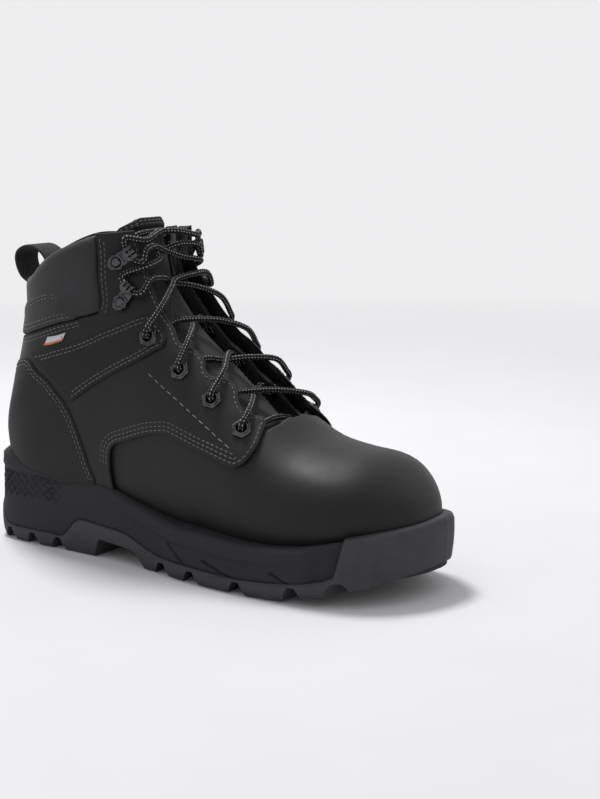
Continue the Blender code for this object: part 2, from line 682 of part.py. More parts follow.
def make_insoles():
    """Insole board and the footbed on it, which lifts out heel first."""
    sheet = bottom_sheet("insole_board", BOARD_STATIONS, BOARD_ANGLE, BOARD_DEPTH)
    board = add_object("insole_board", sheet, FIBRE_BOARD)
    solidify(board, INSOLE_BOARD)
    depth = BOARD_DEPTH - INSOLE_BOARD - LAYER_GAP
    sheet = bottom_sheet("footbed", FOOTBED_STATIONS, FOOTBED_ANGLE, depth)
    footbed = add_object("footbed", sheet, FOOTBED_FOAM)
    solidify(footbed, FOOTBED)
    return footbed


# ---------------------------------------------------------------- sole
# Half outlines of the sole from the heel's back to the toe's tip, in x and y of the pattern.
OUTER_OUTLINE = [(-155, 0), (-153.5, -17), (-144, -29.5), (-118, -35), (-67, -37), (-15, -43.5), (13, -50),
                 (48, -54.3), (89, -54.7), (112, -50.5), (131, -40), (146, -23), (153, -4), (155, 12)]
INNER_OUTLINE = [(-155, 0), (-153.5, 17), (-144, 29.5), (-118, 35), (-67, 36), (-20, 37), (15, 43),
                 (50, 52.0), (85, 55.0), (112, 52.9), (132, 45), (147, 33), (153.5, 22), (155, 12)]
RIM_LINE = [(-155, 57), (-100, 54), (-62, 49), (-30, 39), (0, 32), (25, 30.5), (60, 29), (90, 31),
            (122, 37), (155, 43)]
PLATE_LINE = [(-155, 16), (-100, 16.5), (-60, 17), (-28, 14.5), (0, 10), (30, 9.5), (62, 9.5), (90, 11.5),
              (122, 18), (155, 27)]
TREAD_FLAT_END = 62
TOE_SPRING = 18
ARCH = (-66, -16)               # the arch's gap under the sole, in x
ARCH_RISE = 12.5
BUMPER_START = (117, 124)       # the bumper rises here
BUMPER_NECK = (100, 110)        # the midsole narrows here, to pass inside it
BUMPER_ABOVE_RIM = 1.5
OUTLINE_STEPS = 26
# Grooves between the lugs: x in the pattern, how far in from the edge in metres, slant in degrees.
LUG_GROOVES = [(-137, 34 * MM, 0), (-115, 32 * MM, 0), (-93, 32 * MM, 0), (-1, 30 * MM, 12),
               (23, 32 * MM, 12), (57, 36 * MM, 8), (94, 34 * MM, -6)]


def line_height(points, x):
    """Height of a line of (x, z) points at x."""
    if x <= points[0][0]:
        return points[0][1]
    for i, (a, b) in enumerate(zip(points, points[1:])):
        if x <= b[0]:
            return catmull([(p[1],) for p in points], i + (x - a[0]) / (b[0] - a[0]))[0]
    return points[-1][1]


def tread_height(x):
    """Underside of the tread: flat, then rising to the toe."""
    if x < TREAD_FLAT_END:
        return 0.0
    return TOE_SPRING * ((x - TREAD_FLAT_END) / (PATTERN_LENGTH / 2 - TREAD_FLAT_END)) ** 1.8


def ramp(x, start, end):
    t = max(0.0, min(1.0, (x - start) / (end - start)))
    return t * t * (3 - 2 * t)


def bumper_share(x):
    return ramp(x, *BUMPER_START)


def outline_points(inset):
    """Sole outline in metres, moved inwards: down the outer side to the toe, back up the inner."""
    outer = [Vector(catmull(OUTER_OUTLINE, (len(OUTER_OUTLINE) - 1) * i / OUTLINE_STEPS))
             for i in range(OUTLINE_STEPS + 1)]
    inner = [Vector(catmull(INNER_OUTLINE, (len(INNER_OUTLINE) - 1) * i / OUTLINE_STEPS))
             for i in range(OUTLINE_STEPS + 1)]
    loop = outer + list(reversed(inner[1:-1]))
    points = [graded(p[0], p[1], 0) for p in loop]
    moved = []
    for i, point in enumerate(points):
        tangent = points[(i + 1) % len(points)] - points[i - 1]
        inward = Vector((-tangent.y, tangent.x, 0)).normalized()
        distance = inset(loop[i][0]) if callable(inset) else inset
        moved.append((loop[i][0], point + inward * distance))
    return moved


def sole_loop(inset, height):
    """Ring of points round the sole. height takes the pattern's x and gives metres."""
    return [Vector((p.x, p.y, height(x))) for x, p in outline_points(inset)]


def loft_mesh(name, loops):
    """Closed mesh through rings of the same count, its two ends closed straight across the sole."""
    count = len(loops[0])
    points = [p for loop in loops for p in loop]
    faces = []
    for level in range(len(loops) - 1):
        for i in range(count):
            j = (i + 1) % count
            low, high = level * count, (level + 1) * count
            faces.append((low + i, low + j, high + j, high + i))
    for base in (0, (len(loops) - 1) * count):
        for i in range(OUTLINE_STEPS):
            a, b = i, i + 1
            c, d = (count - b) % count, (count - a) % count
            corners = []
            for corner in (a, b, c, d):
                if base + corner not in corners:
                    corners.append(base + corner)
            faces.append(tuple(corners))
    mesh = bpy.data.meshes.new(name)
    mesh.from_pydata(points, [], faces)
    work = bmesh.new()
    work.from_mesh(mesh)
    bmesh.ops.recalc_face_normals(work, faces=work.faces)
    work.to_mesh(mesh)
    work.free()
    return mesh


def metres_up(height):
    return height * BOOT_HEIGHT / PATTERN_HEIGHT


def add_box_cutter(name, low, high, angle=0.0):
    """Box cutter between two corners, turned about its own middle in plan."""
    middle = (low + high) / 2
    bpy.ops.mesh.primitive_cube_add(size=1.0, location=middle, rotation=(0, 0, angle))
    box = bpy.context.object
    box.name = name
    box.dimensions = high - low
    bpy.ops.object.transform_apply(location=False, rotation=False, scale=True)
    for collection in list(box.users_collection):
        collection.objects.unlink(box)
    CUTTERS.objects.link(box)
    return box


def make_outsole(room):
    """Rubber outsole: heel block and forefoot lugs below, a lip round the midsole, a bumper at the toe."""
    def lip(x):
        low = metres_up(line_height(PLATE_LINE, x)) + OUTSOLE_LIP
        high = metres_up(line_height(RIM_LINE, x) + BUMPER_ABOVE_RIM)
        return low + (high - low) * bumper_share(x)

    def plate(x):
        return metres_up(line_height(PLATE_LINE, x))

    def tread(x):
        return metres_up(tread_height(x))

    loops = [
        sole_loop(2.0 * MM, tread),
        sole_loop(0.3 * MM, lambda x: tread(x) + 0.45 * (plate(x) - tread(x))),
        sole_loop(0.0, plate),
        sole_loop(0.6 * MM, lip),
        sole_loop(0.6 * MM + BUMPER_WALL, lip),
        sole_loop(0.6 * MM + BUMPER_WALL, plate),
    ]
    outsole = add_object("outsole", loft_mesh("outsole", loops), GREY_RUBBER)
    cut(outsole, room)
    half = SOLE_WIDTH * 0.75
    below = -5 * MM
    arch_low = graded(ARCH[0], 0, 0)
    arch_high = graded(ARCH[1], 0, ARCH_RISE)
    cut(outsole, add_box_cutter("arch_gap", Vector((arch_low.x, -half, below)),
                                Vector((arch_high.x, half, arch_high.z))))
    groove = LUG_GROOVE / 2
    for index, (x, reach, angle) in enumerate(LUG_GROOVES):
        for side in (LATERAL, MEDIAL):
            middle = graded(x, -side * 55, tread_height(x))
            low = Vector((middle.x - groove, middle.y - reach, below))
            high = Vector((middle.x + groove, middle.y + reach, middle.z + LUG_DEPTH))
            cut(outsole, add_box_cutter(f"groove_{index}_{side}", low, high, side * math.radians(angle)))
    return outsole


CUP_CLEARANCE = 1.6 * MM
CUP_BLEND = (5.0, 6.4)          # stations where the cup widens for the quarters and the counter


def cup_depth(station):
    """How far the midsole's cup stands off the last."""
    share = ramp(station, *CUP_BLEND)
    return VAMP_OUT + CUP_CLEARANCE + (OVERLAY_OUT - VAMP_OUT) * share


def upper_cutter(name):
    """The room that the upper takes: the whole last, swollen by the layers on it."""
    around = 36
    stations = [0.12, 0.4, 0.8, 1.2, 1.6, 2.1] + [2.6 + 0.5 * i for i in range(19)]
    points = [on_last(0, 0, cup_depth(0))]
    for station in stations:
        for i in range(around):
            share = -1 + 2 * i / around
            angle = math.pi * share
            points.append(on_last(station, angle, cup_depth(station)))
    faces = [(0, 1 + (i + 1) % around, 1 + i) for i in range(around)]
    for row in range(len(stations) - 1):
        for i in range(around):
            a, b = 1 + row * around + i, 1 + row * around + (i + 1) % around
            faces.append((a, b, b + around, a + around))
    top = 1 + (len(stations) - 1) * around
    faces.append(tuple(top + i for i in range(around)))
    mesh = bpy.data.meshes.new(name)
    mesh.from_pydata(points, [], faces)
    work = bmesh.new()
    work.from_mesh(mesh)
    bmesh.ops.triangulate(work, faces=work.faces)
    bmesh.ops.recalc_face_normals(work, faces=work.faces)
    work.to_mesh(mesh)
    work.free()
    return add_object(name, mesh, FOAM, CUTTERS)


def make_midsole(room):
    """Midsole: a cup that holds the upper, standing in the outsole's lip."""
    def floor(x):
        return metres_up(line_height(PLATE_LINE, x)) + PIECE_GAP

    def rim(x):
        return metres_up(line_height(RIM_LINE, x))

    in_lip = 0.6 * MM + BUMPER_WALL + PIECE_GAP

    def outer_inset(inset):
        return lambda x: inset + (in_lip - inset) * ramp(x, *BUMPER_NECK)

    step = OUTSOLE_LIP + PIECE_GAP
    loops = [
        sole_loop(in_lip, floor),
        sole_loop(in_lip, lambda x: floor(x) + step),
        sole_loop(outer_inset(0.6 * MM), lambda x: floor(x) + step + 1.5 * MM),
        sole_loop(outer_inset(1.6 * MM), lambda x: floor(x) + 0.7 * (rim(x) - floor(x))),
        sole_loop(outer_inset(2.4 * MM), rim),
    ]
    midsole = add_object("midsole", loft_mesh("midsole", loops), DARK_FOAM_SOLE)
    cut(midsole, room)
    return midsole


def make_shank():
    """Steel shank between the insole board and the midsole's floor."""
    front, back = SHANK_STATIONS
    rows = 12
    points = []
    for row in range(rows + 1):
        station = front + (back - front) * row / rows
        middle = on_last(station, 0.0, cup_depth(station) - SHANK_GAP - SHANK_THICKNESS)
        for side in (-1, 1):
            points.append(middle + Vector((0, side * SHANK_WIDTH / 2, 0)))
    faces = [(2 * r, 2 * r + 1, 2 * r + 3, 2 * r + 2) for r in range(rows)]
    mesh = bpy.data.meshes.new("steel_shank")
    mesh.from_pydata(points, [], faces)
    if mesh.polygons[0].normal.z > 0:
        mesh.flip_normals()
    shank = add_object("steel_shank", mesh, STEEL)
    solidify(shank, SHANK_THICKNESS)


# ---------------------------------------------------------------- eyelets, hooks and rivets
def seat_matrix(place, side, depth):
    """Frame of a fastener: Z out of the leather, X towards the throat."""
    station, angle = place[0], side * place[1]
    along, around, normal = last_frame(station, angle)
    towards = (around * side - normal * (around * side).dot(normal)).normalized()
    matrix = Matrix.Identity(4)
    across = normal.cross(towards)
    for row in range(3):
        matrix[row][0], matrix[row][1], matrix[row][2] = towards[row], across[row], normal[row]
    matrix.translation = on_last(station, angle, depth)
    return matrix


def turned_mesh(name, profile, steps):
    """Closed ring or solid: a profile of (radius, height) turned about Z."""
    mesh = bpy.data.meshes.new(name)
    mesh.from_pydata([(r, 0, h) for r, h in profile], [(i, i + 1) for i in range(len(profile) - 1)], [])
    thing = bpy.data.objects.new(name, mesh)
    CUTTERS.objects.link(thing)
    screw = thing.modifiers.new("turn", "SCREW")
    screw.steps = steps
    screw.render_steps = steps
    screw.use_merge_vertices = True
    screw.merge_threshold = 0.00005
    result = evaluated_mesh(thing)
    bpy.data.objects.remove(thing, do_unlink=True)
    work = bmesh.new()
    work.from_mesh(result)
    bmesh.ops.remove_doubles(work, verts=work.verts, dist=0.00001)
    bmesh.ops.recalc_face_normals(work, faces=work.faces)
    work.to_mesh(result)
    work.free()
    result.name = name
    return result


def eyelet_mesh(seat):
    """Eyelet with its flange above the leather and its washer inside the lining."""
    top = seat + LAYER_GAP
    bottom = LINING_IN - WASHER_DEPTH
    hole, barrel = EYELET_HOLE, EYELET_HOLE + EYELET_WALL
    inner_flange = EYELET_FLANGE * 0.85
    profile = [(hole, top + 0.6 * EYELET_PLATE), (hole + 0.5 * EYELET_WALL, top + EYELET_PLATE),
               (0.7 * EYELET_FLANGE, top + EYELET_PLATE), (EYELET_FLANGE, top + 0.4 * EYELET_PLATE),
               (EYELET_FLANGE, top), (barrel, top), (barrel, bottom), (inner_flange, bottom),
               (inner_flange, bottom - EYELET_PLATE), (hole, bottom - EYELET_PLATE),
               (hole, top + 0.6 * EYELET_PLATE)]
    return turned_mesh("eyelet", profile, 12)


def make_eyelets():
    for label, side in SIDES.items():
        for number, place in enumerate(EYELET_PLACES, 1):
            seat = OVERLAY_OUT if number == 1 else QUARTER_OUT
            eyelet = add_object(f"eyelet_{label}_{number}", eyelet_mesh(seat), GUNMETAL)
            eyelet.matrix_world = seat_matrix(place, side, 0.0)
            eyelet.data.shade_smooth()
            eyelet.data.set_sharp_from_angle(angle=math.radians(35))


HOOK_SEAT = QUARTER_OUT + LAYER_GAP
HOOK_GAP = LACE_DIAMETER + 2 * LACE_GAP         # room for the lace under the lip
HOOK_REACH = RIVET_HEAD + 2 * MM + HOOK_LIP + HOOK_PLATE


def hook_mesh():
    """Speed hook from the side: a plate under the rivet, bent up and back over the lace."""
    plate, gap = HOOK_PLATE, HOOK_GAP
    outer = gap / 2 + plate
    centre = Vector((HOOK_REACH - outer, HOOK_SEAT + outer))
    outside = [(-HOOK_BACK, HOOK_SEAT), (centre.x, HOOK_SEAT)]
    inside_line = [(-HOOK_BACK, HOOK_SEAT + plate), (centre.x, HOOK_SEAT + plate)]
    bend = 6
    for i in range(1, bend + 1):
        turn = math.pi * i / bend - math.pi / 2
        direction = Vector((math.cos(turn), math.sin(turn)))
        outside.append(tuple(centre + direction * outer))
        inside_line.append(tuple(centre + direction * gap / 2))
    lip = centre.x - HOOK_LIP + outer
    outside.append((lip, HOOK_SEAT + 2 * outer + 0.4 * MM))
    inside_line.append((lip, HOOK_SEAT + 2 * outer - plate + 0.4 * MM))
    profile = outside + list(reversed(inside_line))
    work = bmesh.new()
    ring = [work.verts.new((x, -HOOK_WIDTH / 2, z)) for x, z in profile]
    face = work.faces.new(ring)
    grown = bmesh.ops.extrude_face_region(work, geom=[face])
    moved = [v for v in grown["geom"] if isinstance(v, bmesh.types.BMVert)]
    bmesh.ops.translate(work, verts=moved, vec=(0, HOOK_WIDTH, 0))
    bmesh.ops.recalc_face_normals(work, faces=work.faces)
    mesh = bpy.data.meshes.new("hook")
    work.to_mesh(mesh)
    work.free()
    blank = bpy.data.objects.new("hook_blank", mesh)
    CUTTERS.objects.link(blank)
    bpy.ops.mesh.primitive_cylinder_add(vertices=12, radius=RIVET_CUT, depth=4 * HOOK_PLATE,
                                        location=(0, 0, HOOK_SEAT))
    drill = bpy.context.object
    cut(blank, drill)
    result = evaluated_mesh(blank)
    bpy.data.objects.remove(blank, do_unlink=True)
    bpy.data.objects.remove(drill, do_unlink=True)
    result.name = "hook"
    return result


def rivet_mesh():
    """Rivet with a domed head on the hook's plate and a washer inside the lining."""
    seat = HOOK_SEAT + HOOK_PLATE + PIECE_GAP / 2
    bottom = LINING_IN - WASHER_DEPTH
    plate = EYELET_PLATE
    profile = [(0, seat + RIVET_HEIGHT), (0.5 * RIVET_HEAD, seat + 0.9 * RIVET_HEIGHT),
               (0.85 * RIVET_HEAD, seat + 0.6 * RIVET_HEIGHT), (RIVET_HEAD, seat), (RIVET_SHANK, seat),
               (RIVET_SHANK, bottom), (RIVET_HEAD, bottom), (RIVET_HEAD, bottom - plate),
               (0, bottom - plate)]
    return turned_mesh("rivet", profile, 12)


def make_hooks():
    for label, side in SIDES.items():
        for number, place in enumerate(HOOK_PLACES, 1):
            matrix = seat_matrix(place, side, 0.0)
            hook = add_object(f"lace_hook_{label}_{number}", hook_mesh(), GUNMETAL)
            hook.matrix_world = matrix
            rivet = add_object(f"hook_rivet_{label}_{number}", rivet_mesh(), GUNMETAL)
            rivet.matrix_world = matrix
            rivet.data.shade_smooth()
            rivet.data.set_sharp_from_angle(angle=math.radians(35))


# ---------------------------------------------------------------- lace
LACE_RADIUS = LACE_DIAMETER / 2
ON_TONGUE = TONGUE_OUT + 2 * LACE_GAP + LACE_RADIUS
OVER_STRAND = ON_TONGUE + LACE_DIAMETER + LACE_GAP
OVER_FLANGE = EYELET_PLATE + LAYER_GAP + LACE_GAP + LACE_RADIUS
OVER_FACING = QUARTER_OUT + 2 * LACE_GAP + LACE_RADIUS


def throat_angle(station):
    """Angle of the facing's edge at a station, on the outer side."""
    for a, b in zip(FACING_EDGE, FACING_EDGE[1:]):
        if a[0] <= station <= b[0]:
            return a[1] + (b[1] - a[1]) * (station - a[0]) / (b[0] - a[0])
    return FACING_EDGE[0][1] if station < FACING_EDGE[0][0] else FACING_EDGE[-1][1]


def fastener_point(place, side, forward, height, across=0.0):
    """Point in a fastener's frame: forward to the throat, height above the last's surface."""
    return seat_matrix(place, side, 0.0) @ Vector((forward, across * side, height))


def crossing(start, end, side, strand):
    """Route over the throat from a facing's edge on one side to under the facing on the other."""
    s0, s1 = start[0], end[0]
    middle = (s0 + s1) / 2
    edge0 = throat_angle(s0 + 0.12 * (s1 - s0))
    edge1 = throat_angle(s1 - 0.12 * (s1 - s0))
    points = [on_last(s0 + 0.10 * (s1 - s0), side * (edge0 + 0.02), OVER_FACING)]
    points.append(on_last(s0 + 0.3 * (s1 - s0), side * (edge0 + (math.pi - edge0) * 0.55),
                          (OVER_FACING + strand) / 2 - 0.8 * MM))
    points.append(on_last(middle, side * math.pi, strand))
    points.append(on_last(s1 - 0.3 * (s1 - s0), -side * (edge1 + (math.pi - edge1) * 0.5),
                          ON_TONGUE + 0.15 * (strand - ON_TONGUE)))
    points.append(on_last(s1 - 0.10 * (s1 - s0), -side * (edge1 - 0.02), LACE_UNDER))
    return points


def up_through(place, side, seat):
    """Route up through an eyelet, from under the facing to the flange's edge on the throat side."""
    forward = EYELET_FLANGE
    lift = seat + OVER_FLANGE
    return [
        fastener_point(place, side, 0.45 * forward, LACE_UNDER - 0.1 * MM),
        fastener_point(place, side, 0.08 * forward, LACE_UNDER + 1.3 * MM),
        fastener_point(place, side, 0.0, LINING_IN),
        fastener_point(place, side, 0.0, seat - 0.5 * MM),
        fastener_point(place, side, 0.10 * forward, lift - 0.6 * MM),
        fastener_point(place, side, 0.5 * forward, lift + 0.35 * MM),
        fastener_point(place, side, 1.02 * forward, lift - 0.2 * MM),
    ]


def round_hook(place, side):
    """Route under a hook's lip: in from below, round, and out above."""
    middle = HOOK_SEAT + HOOK_PLATE + HOOK_GAP / 2
    inner = HOOK_REACH - HOOK_PLATE - HOOK_GAP / 2 - 0.6 * MM
    beside = HOOK_WIDTH / 2 + LACE_RADIUS
    return [
        fastener_point(place, side, inner + 4.0 * MM, middle - 0.6 * MM, -beside - 2.6 * MM),
        fastener_point(place, side, inner + 0.6 * MM, middle, -beside * 0.85),
        fastener_point(place, side, inner - 0.4 * MM, middle, 0),
        fastener_point(place, side, inner + 0.6 * MM, middle, beside * 0.85),
        fastener_point(place, side, inner + 4.0 * MM, middle - 0.6 * MM, beside + 2.6 * MM),
    ]


def half_lace(side, strand):
    """Half of the lace from the lowest eyelet on one side up to the end tucked in at the top."""
    route = []
    order = [EYELET_PLACES[3], EYELET_PLACES[2], EYELET_PLACES[1], EYELET_PLACES[0],
             HOOK_PLACES[1], HOOK_PLACES[0]]
    for index, place in enumerate(order):
        here = side if index % 2 == 0 else -side
        if place in EYELET_PLACES:
            seat = OVERLAY_OUT if place == EYELET_PLACES[0] else QUARTER_OUT
            route += up_through(place, here, seat)
        else:
            route += round_hook(place, here)
        if index + 1 < len(order):
            following = order[index + 1]
            points = crossing(place, following, here, strand)
            if following in HOOK_PLACES:
                points = points[:3] + rise_to_hook(following, -here)
            if place in HOOK_PLACES:
                points = leave_hook(place, here) + points[2:3] + rise_to_hook(following, -here)
            route += points
    return route


def rise_to_hook(place, side):
    """From the tongue up over the facing's edge to a hook on this side."""
    station = place[0] - 0.5
    edge = throat_angle(station)
    over = (ON_TONGUE + OVER_FACING) / 2
    return [on_last(station - 0.25, side * (math.pi - 0.55 * (math.pi - edge)), over),
            on_last(station, side * edge, OVER_FACING + 0.6 * MM)]


def leave_hook(place, side):
    """From a hook back over the facing's edge to the tongue."""
    station = place[0] + 0.5
    edge = throat_angle(station)
    over = (ON_TONGUE + OVER_FACING) / 2
    return [on_last(station, side * (edge + 0.02), OVER_FACING + 0.4 * MM),
            on_last(station + 0.2, side * (math.pi - 0.5 * (math.pi - edge)), over)]


TUCK_STATION = 13.35
AGLET_PLACE = (12.45, 2.5)      # where an aglet starts, behind the facing


def tucked_end(side, strand):
    """From the top hook over the tongue and down behind the other facing."""
    other = -side
    edge = throat_angle(TUCK_STATION)
    points = leave_hook(HOOK_PLACES[0], side)[:1]
    points.append(on_last(TUCK_STATION - 0.25, side * (math.pi - 0.45 * (math.pi - edge)),
                          (strand + OVER_FACING) / 2))
    points.append(on_last(TUCK_STATION, math.pi * side, strand))
    points.append(on_last(TUCK_STATION, other * (edge + 0.12), ON_TONGUE + 0.3 * MM))
    points.append(on_last(TUCK_STATION - 0.1, other * (edge - 0.06), LACE_UNDER))
    points.append(on_last(13.0, other * (edge - 0.13), LACE_UNDER))
    end, direction = aglet_line(other)
    return points + [end - direction * 1.5 * LACE_DIAMETER, end]


def aglet_line(side):
    """Where the lace ends on a side, and the way its aglet points."""
    end = on_last(AGLET_PLACE[0], side * AGLET_PLACE[1], LACE_UNDER)
    aim = on_last(AGLET_PLACE[0] - 2.5, side * AGLET_PLACE[1], LACE_UNDER)
    return end, (aim - end).normalized()


def lace_route():
    bar = [on_last(3.98, angle, LACE_UNDER) for angle in (2.62, 2.85, math.pi, -2.85, -2.62)]
    first = half_lace(LATERAL, ON_TONGUE) + tucked_end(MEDIAL, ON_TONGUE)
    second = half_lace(MEDIAL, OVER_STRAND) + tucked_end(LATERAL, OVER_STRAND)
    return list(reversed(first)) + bar + second


def rounded_route(points, spacing=11.0 * MM):
    values = [tuple(p) for p in points]
    route = []
    for i in range(len(values) - 1):
        length = (Vector(values[i + 1]) - Vector(values[i])).length
        count = max(1, math.ceil(length / spacing - 0.2))
        route += [Vector(catmull(values, i + j / count)) for j in range(count)]
    route.append(Vector(values[-1]))
    return route


def add_tube(name, points, radius, material):
    """Round tube along a line of points, with capped ends."""
    curve = bpy.data.curves.new(name, "CURVE")
    curve.dimensions = "3D"
    curve.bevel_depth = radius
    curve.bevel_resolution = 2
    curve.use_fill_caps = True
    curve.twist_mode = "MINIMUM"
    spline = curve.splines.new("POLY")
    spline.points.add(len(points) - 1)
    for target, point in zip(spline.points, points):
        target.co = (*point, 1.0)
    BOOT.objects.link(bpy.data.objects.new(name, curve))
    curve.materials.append(new_material(name + "_" + material[0], *material[1:]))


def make_lace():
    route = rounded_route(lace_route())
    add_tube("lace", route, LACE_RADIUS, LACE_CORD)
    for number, side in ((1, LATERAL), (2, MEDIAL)):
        end, direction = aglet_line(side)
        start = end + direction * PIECE_GAP
        tip = start + direction * AGLET_LENGTH
        add_tube(f"aglet_{number}", [start, tip], LACE_RADIUS - 0.1 * MM, CLEAR_PLASTIC)


# ---------------------------------------------------------------- pull tab
TAB_ARCH = [(-141, 166), (-145, 175), (-143, 181.5), (-134.5, 184.5), (-126, 182.5), (-119.5, 176)]


def make_pull_tab():
    """Webbing loop over the collar's back, sewn outside on the Achilles panel and inside on the lining."""
    outside = OVERLAY_OUT + LAYER_GAP + TAB_THICKNESS / 2
    within = LINING_IN - TAB_INSIDE - TAB_THICKNESS / 2
    path = [on_last(s, 0.0, outside) for s in (13.3, 13.7, 14.1, 14.4)]
    path += [graded(x, 0, z) for x, z in TAB_ARCH]
    path += [on_last(s, 0.0, within) for s in (14.5, 14.2, 13.9)]
    middle = rounded_route([Vector((p.x, 0, p.z)) for p in path], 5 * MM)
    mesh = bpy.data.meshes.new("pull_tab")
    points = []
    for point in middle:
        points += [point + Vector((0, side * TAB_WIDTH / 2, 0)) for side in (-1, 1)]
    faces = [(2 * i, 2 * i + 1, 2 * i + 3, 2 * i + 2) for i in range(len(middle) - 1)]
    mesh.from_pydata(points, [], faces)
    tab = add_object("pull_tab", mesh, WEBBING)
    solidify(tab, TAB_THICKNESS, offset=0.0)
    tab.data.shade_smooth()


# ---------------------------------------------------------------- the boot
def place_on_hinge(name, pieces, hinge):
    """Parent a moving piece to an empty that stands on its joint's axis."""
    empty = bpy.data.objects.new(name, None)
    BOOT.objects.link(empty)
    empty.location = hinge
    bpy.context.view_layer.update()
    for piece in pieces:
        piece.parent = empty
        piece.matrix_parent_inverse = empty.matrix_world.inverted()


def make_boot():
    room = upper_cutter("upper_room")
    make_outsole(room)
    make_midsole(room)
    make_shank()
    footbed = make_insoles()
    make_vamp()
    make_toe_layers()
    make_quarter_lining()
    make_quarters()
    make_overlays()
    make_heel_stiffener()
    make_collar()
    tongue_pieces = make_tongue()
    make_eyelets()
    make_hooks()
    make_lace()
    make_pull_tab()
    place_on_hinge("footbed_hinge", [footbed], on_last(FOOTBED_STATIONS[0], 0.0, 0.0))
    place_on_hinge("tongue_hinge", tongue_pieces, on_last(TONGUE_STATIONS[0], math.pi, TONGUE_IN))


make_boot()
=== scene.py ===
"""The look of a steel toe work boot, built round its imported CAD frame.

Metres. +X runs to the toe, -Y to the outer (lateral) side and +Z up. The upper's pieces lie on one
surface, the last, addressed by a station (0 at the toe's tip, 15 at the collar) and an angle
(0 at the sole or heel, pi on the ridge, positive on the outer side).
"""
import math
import random

import bmesh
import bpy
import numpy as np
from mathutils import Matrix, Vector, noise
from mathutils.geometry import delaunay_2d_cdt


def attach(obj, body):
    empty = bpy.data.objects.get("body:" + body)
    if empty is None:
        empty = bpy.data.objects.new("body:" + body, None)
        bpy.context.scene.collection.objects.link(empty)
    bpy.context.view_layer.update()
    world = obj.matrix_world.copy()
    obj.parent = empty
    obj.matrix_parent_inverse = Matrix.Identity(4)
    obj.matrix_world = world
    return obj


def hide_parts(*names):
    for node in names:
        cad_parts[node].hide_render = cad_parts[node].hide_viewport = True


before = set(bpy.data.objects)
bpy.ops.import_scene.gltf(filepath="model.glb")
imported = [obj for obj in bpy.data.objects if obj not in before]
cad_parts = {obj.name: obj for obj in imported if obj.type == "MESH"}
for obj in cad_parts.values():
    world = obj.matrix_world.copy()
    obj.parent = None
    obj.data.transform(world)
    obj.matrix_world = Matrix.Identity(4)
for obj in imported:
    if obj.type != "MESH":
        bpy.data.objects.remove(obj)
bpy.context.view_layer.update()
RANDOM = random.Random(7)
MM = 0.001
PI = math.pi

# ---------------------------------------------------------------- sizes, as in the CAD
LEATHER = 2.0 * MM
LAYER_GAP = 0.85 * MM
OVERLAY_LEATHER = 1.6 * MM
LACE_RADIUS = 1.8 * MM
LACE_GAP = 0.5 * MM
EYELET_FLANGE = 5.6 * MM
EYELET_PLATE = 0.9 * MM
RIVET_HEAD = 3.6 * MM
HOOK_PLATE = 1.0 * MM
HOOK_WIDTH = 8.0 * MM
HOOK_LIP = 7.0 * MM
VAMP_OUT = 0.0
STIFF_OUT = -LEATHER - LAYER_GAP
STIFF_IN = STIFF_OUT - 1.8 * MM
LINING_OUT = STIFF_IN - LAYER_GAP
LINING_IN = LINING_OUT - 1.5 * MM
QUARTER_OUT = LAYER_GAP + LEATHER
OVERLAY_OUT = QUARTER_OUT + LAYER_GAP + OVERLAY_LEATHER
LACE_UNDER = LINING_IN - 1.1 * MM - EYELET_PLATE - LACE_GAP - LACE_RADIUS
TONGUE_OUT = LACE_UNDER - LACE_RADIUS - 4 * LACE_GAP
TONGUE_IN = TONGUE_OUT - 6.0 * MM
LATERAL, MEDIAL = 1, -1
SIDES = {"lateral": LATERAL, "medial": MEDIAL}

# low x, low z, high x, high z, outer, inner, centre, low fullness, high fullness, in millimetres
STATIONS = np.array([
    (149, 20, 149, 66, 38, 37, 5, 0.45, 0.80),
    (125, 22, 125, 77, 46, 44, 4, 0.40, 0.85),
    (100, 19, 100, 80, 50, 46, 2, 0.38, 0.90),
    (75, 17, 77, 86, 49.5, 45.5, 0, 0.38, 0.92),
    (50, 16.5, 54, 101, 47.5, 43.5, -1, 0.38, 0.88),
    (28, 17, 34, 119, 45, 42, -1, 0.40, 0.84),
    (4, 19, 14, 137, 43, 40.5, -1, 0.43, 0.80),
    (-26, 23, -4, 153, 41.5, 40, -1, 0.48, 0.78),
    (-60, 27, -14, 166, 41, 39.5, 0, 0.54, 0.78),
    (-100, 29, -19, 175, 40.5, 39, 0, 0.60, 0.78),
    (-135, 36, -22, 182, 40, 39, 0, 0.66, 0.78),
    (-146, 62, -24, 187, 39.5, 39, 0, 0.72, 0.78),
    (-140, 92, -25, 192, 39.5, 39, 0, 0.78, 0.78),
    (-131, 122, -26, 197, 40, 40, 0, 0.80, 0.78),
    (-126, 149, -27, 202, 41, 41, 0, 0.82, 0.78),
    (-128, 175, -28, 208, 42, 42, 0, 0.82, 0.78),
])
LAST_STATION = len(STATIONS) - 1
NOSE_STATIONS = 1.9
NOSE_POWER = 2.3
FEATHER = 0.5


# ---------------------------------------------------------------- the last, for arrays of places
def catmull(values, position):
    """Smooth rows at fractional positions in a table."""
    values = np.asarray(values, float)
    table = np.vstack([2 * values[0] - values[1], values, 2 * values[-1] - values[-2]])
    position = np.clip(np.asarray(position, float), 0, len(values) - 1)
    index = np.minimum(position.astype(int), len(values) - 2)
    t = (position - index)[..., None]
    p0, p1, p2, p3 = (table[index + k] for k in range(4))
    return 0.5 * (2 * p1 + (p2 - p0) * t + (2 * p0 - 5 * p1 + 4 * p2 - p3) * t * t
                  + (3 * p1 - p0 - 3 * p2 + p3) * t ** 3)


def wrapped(angle):
    return (np.asarray(angle, float) + PI) % (2 * PI) - PI


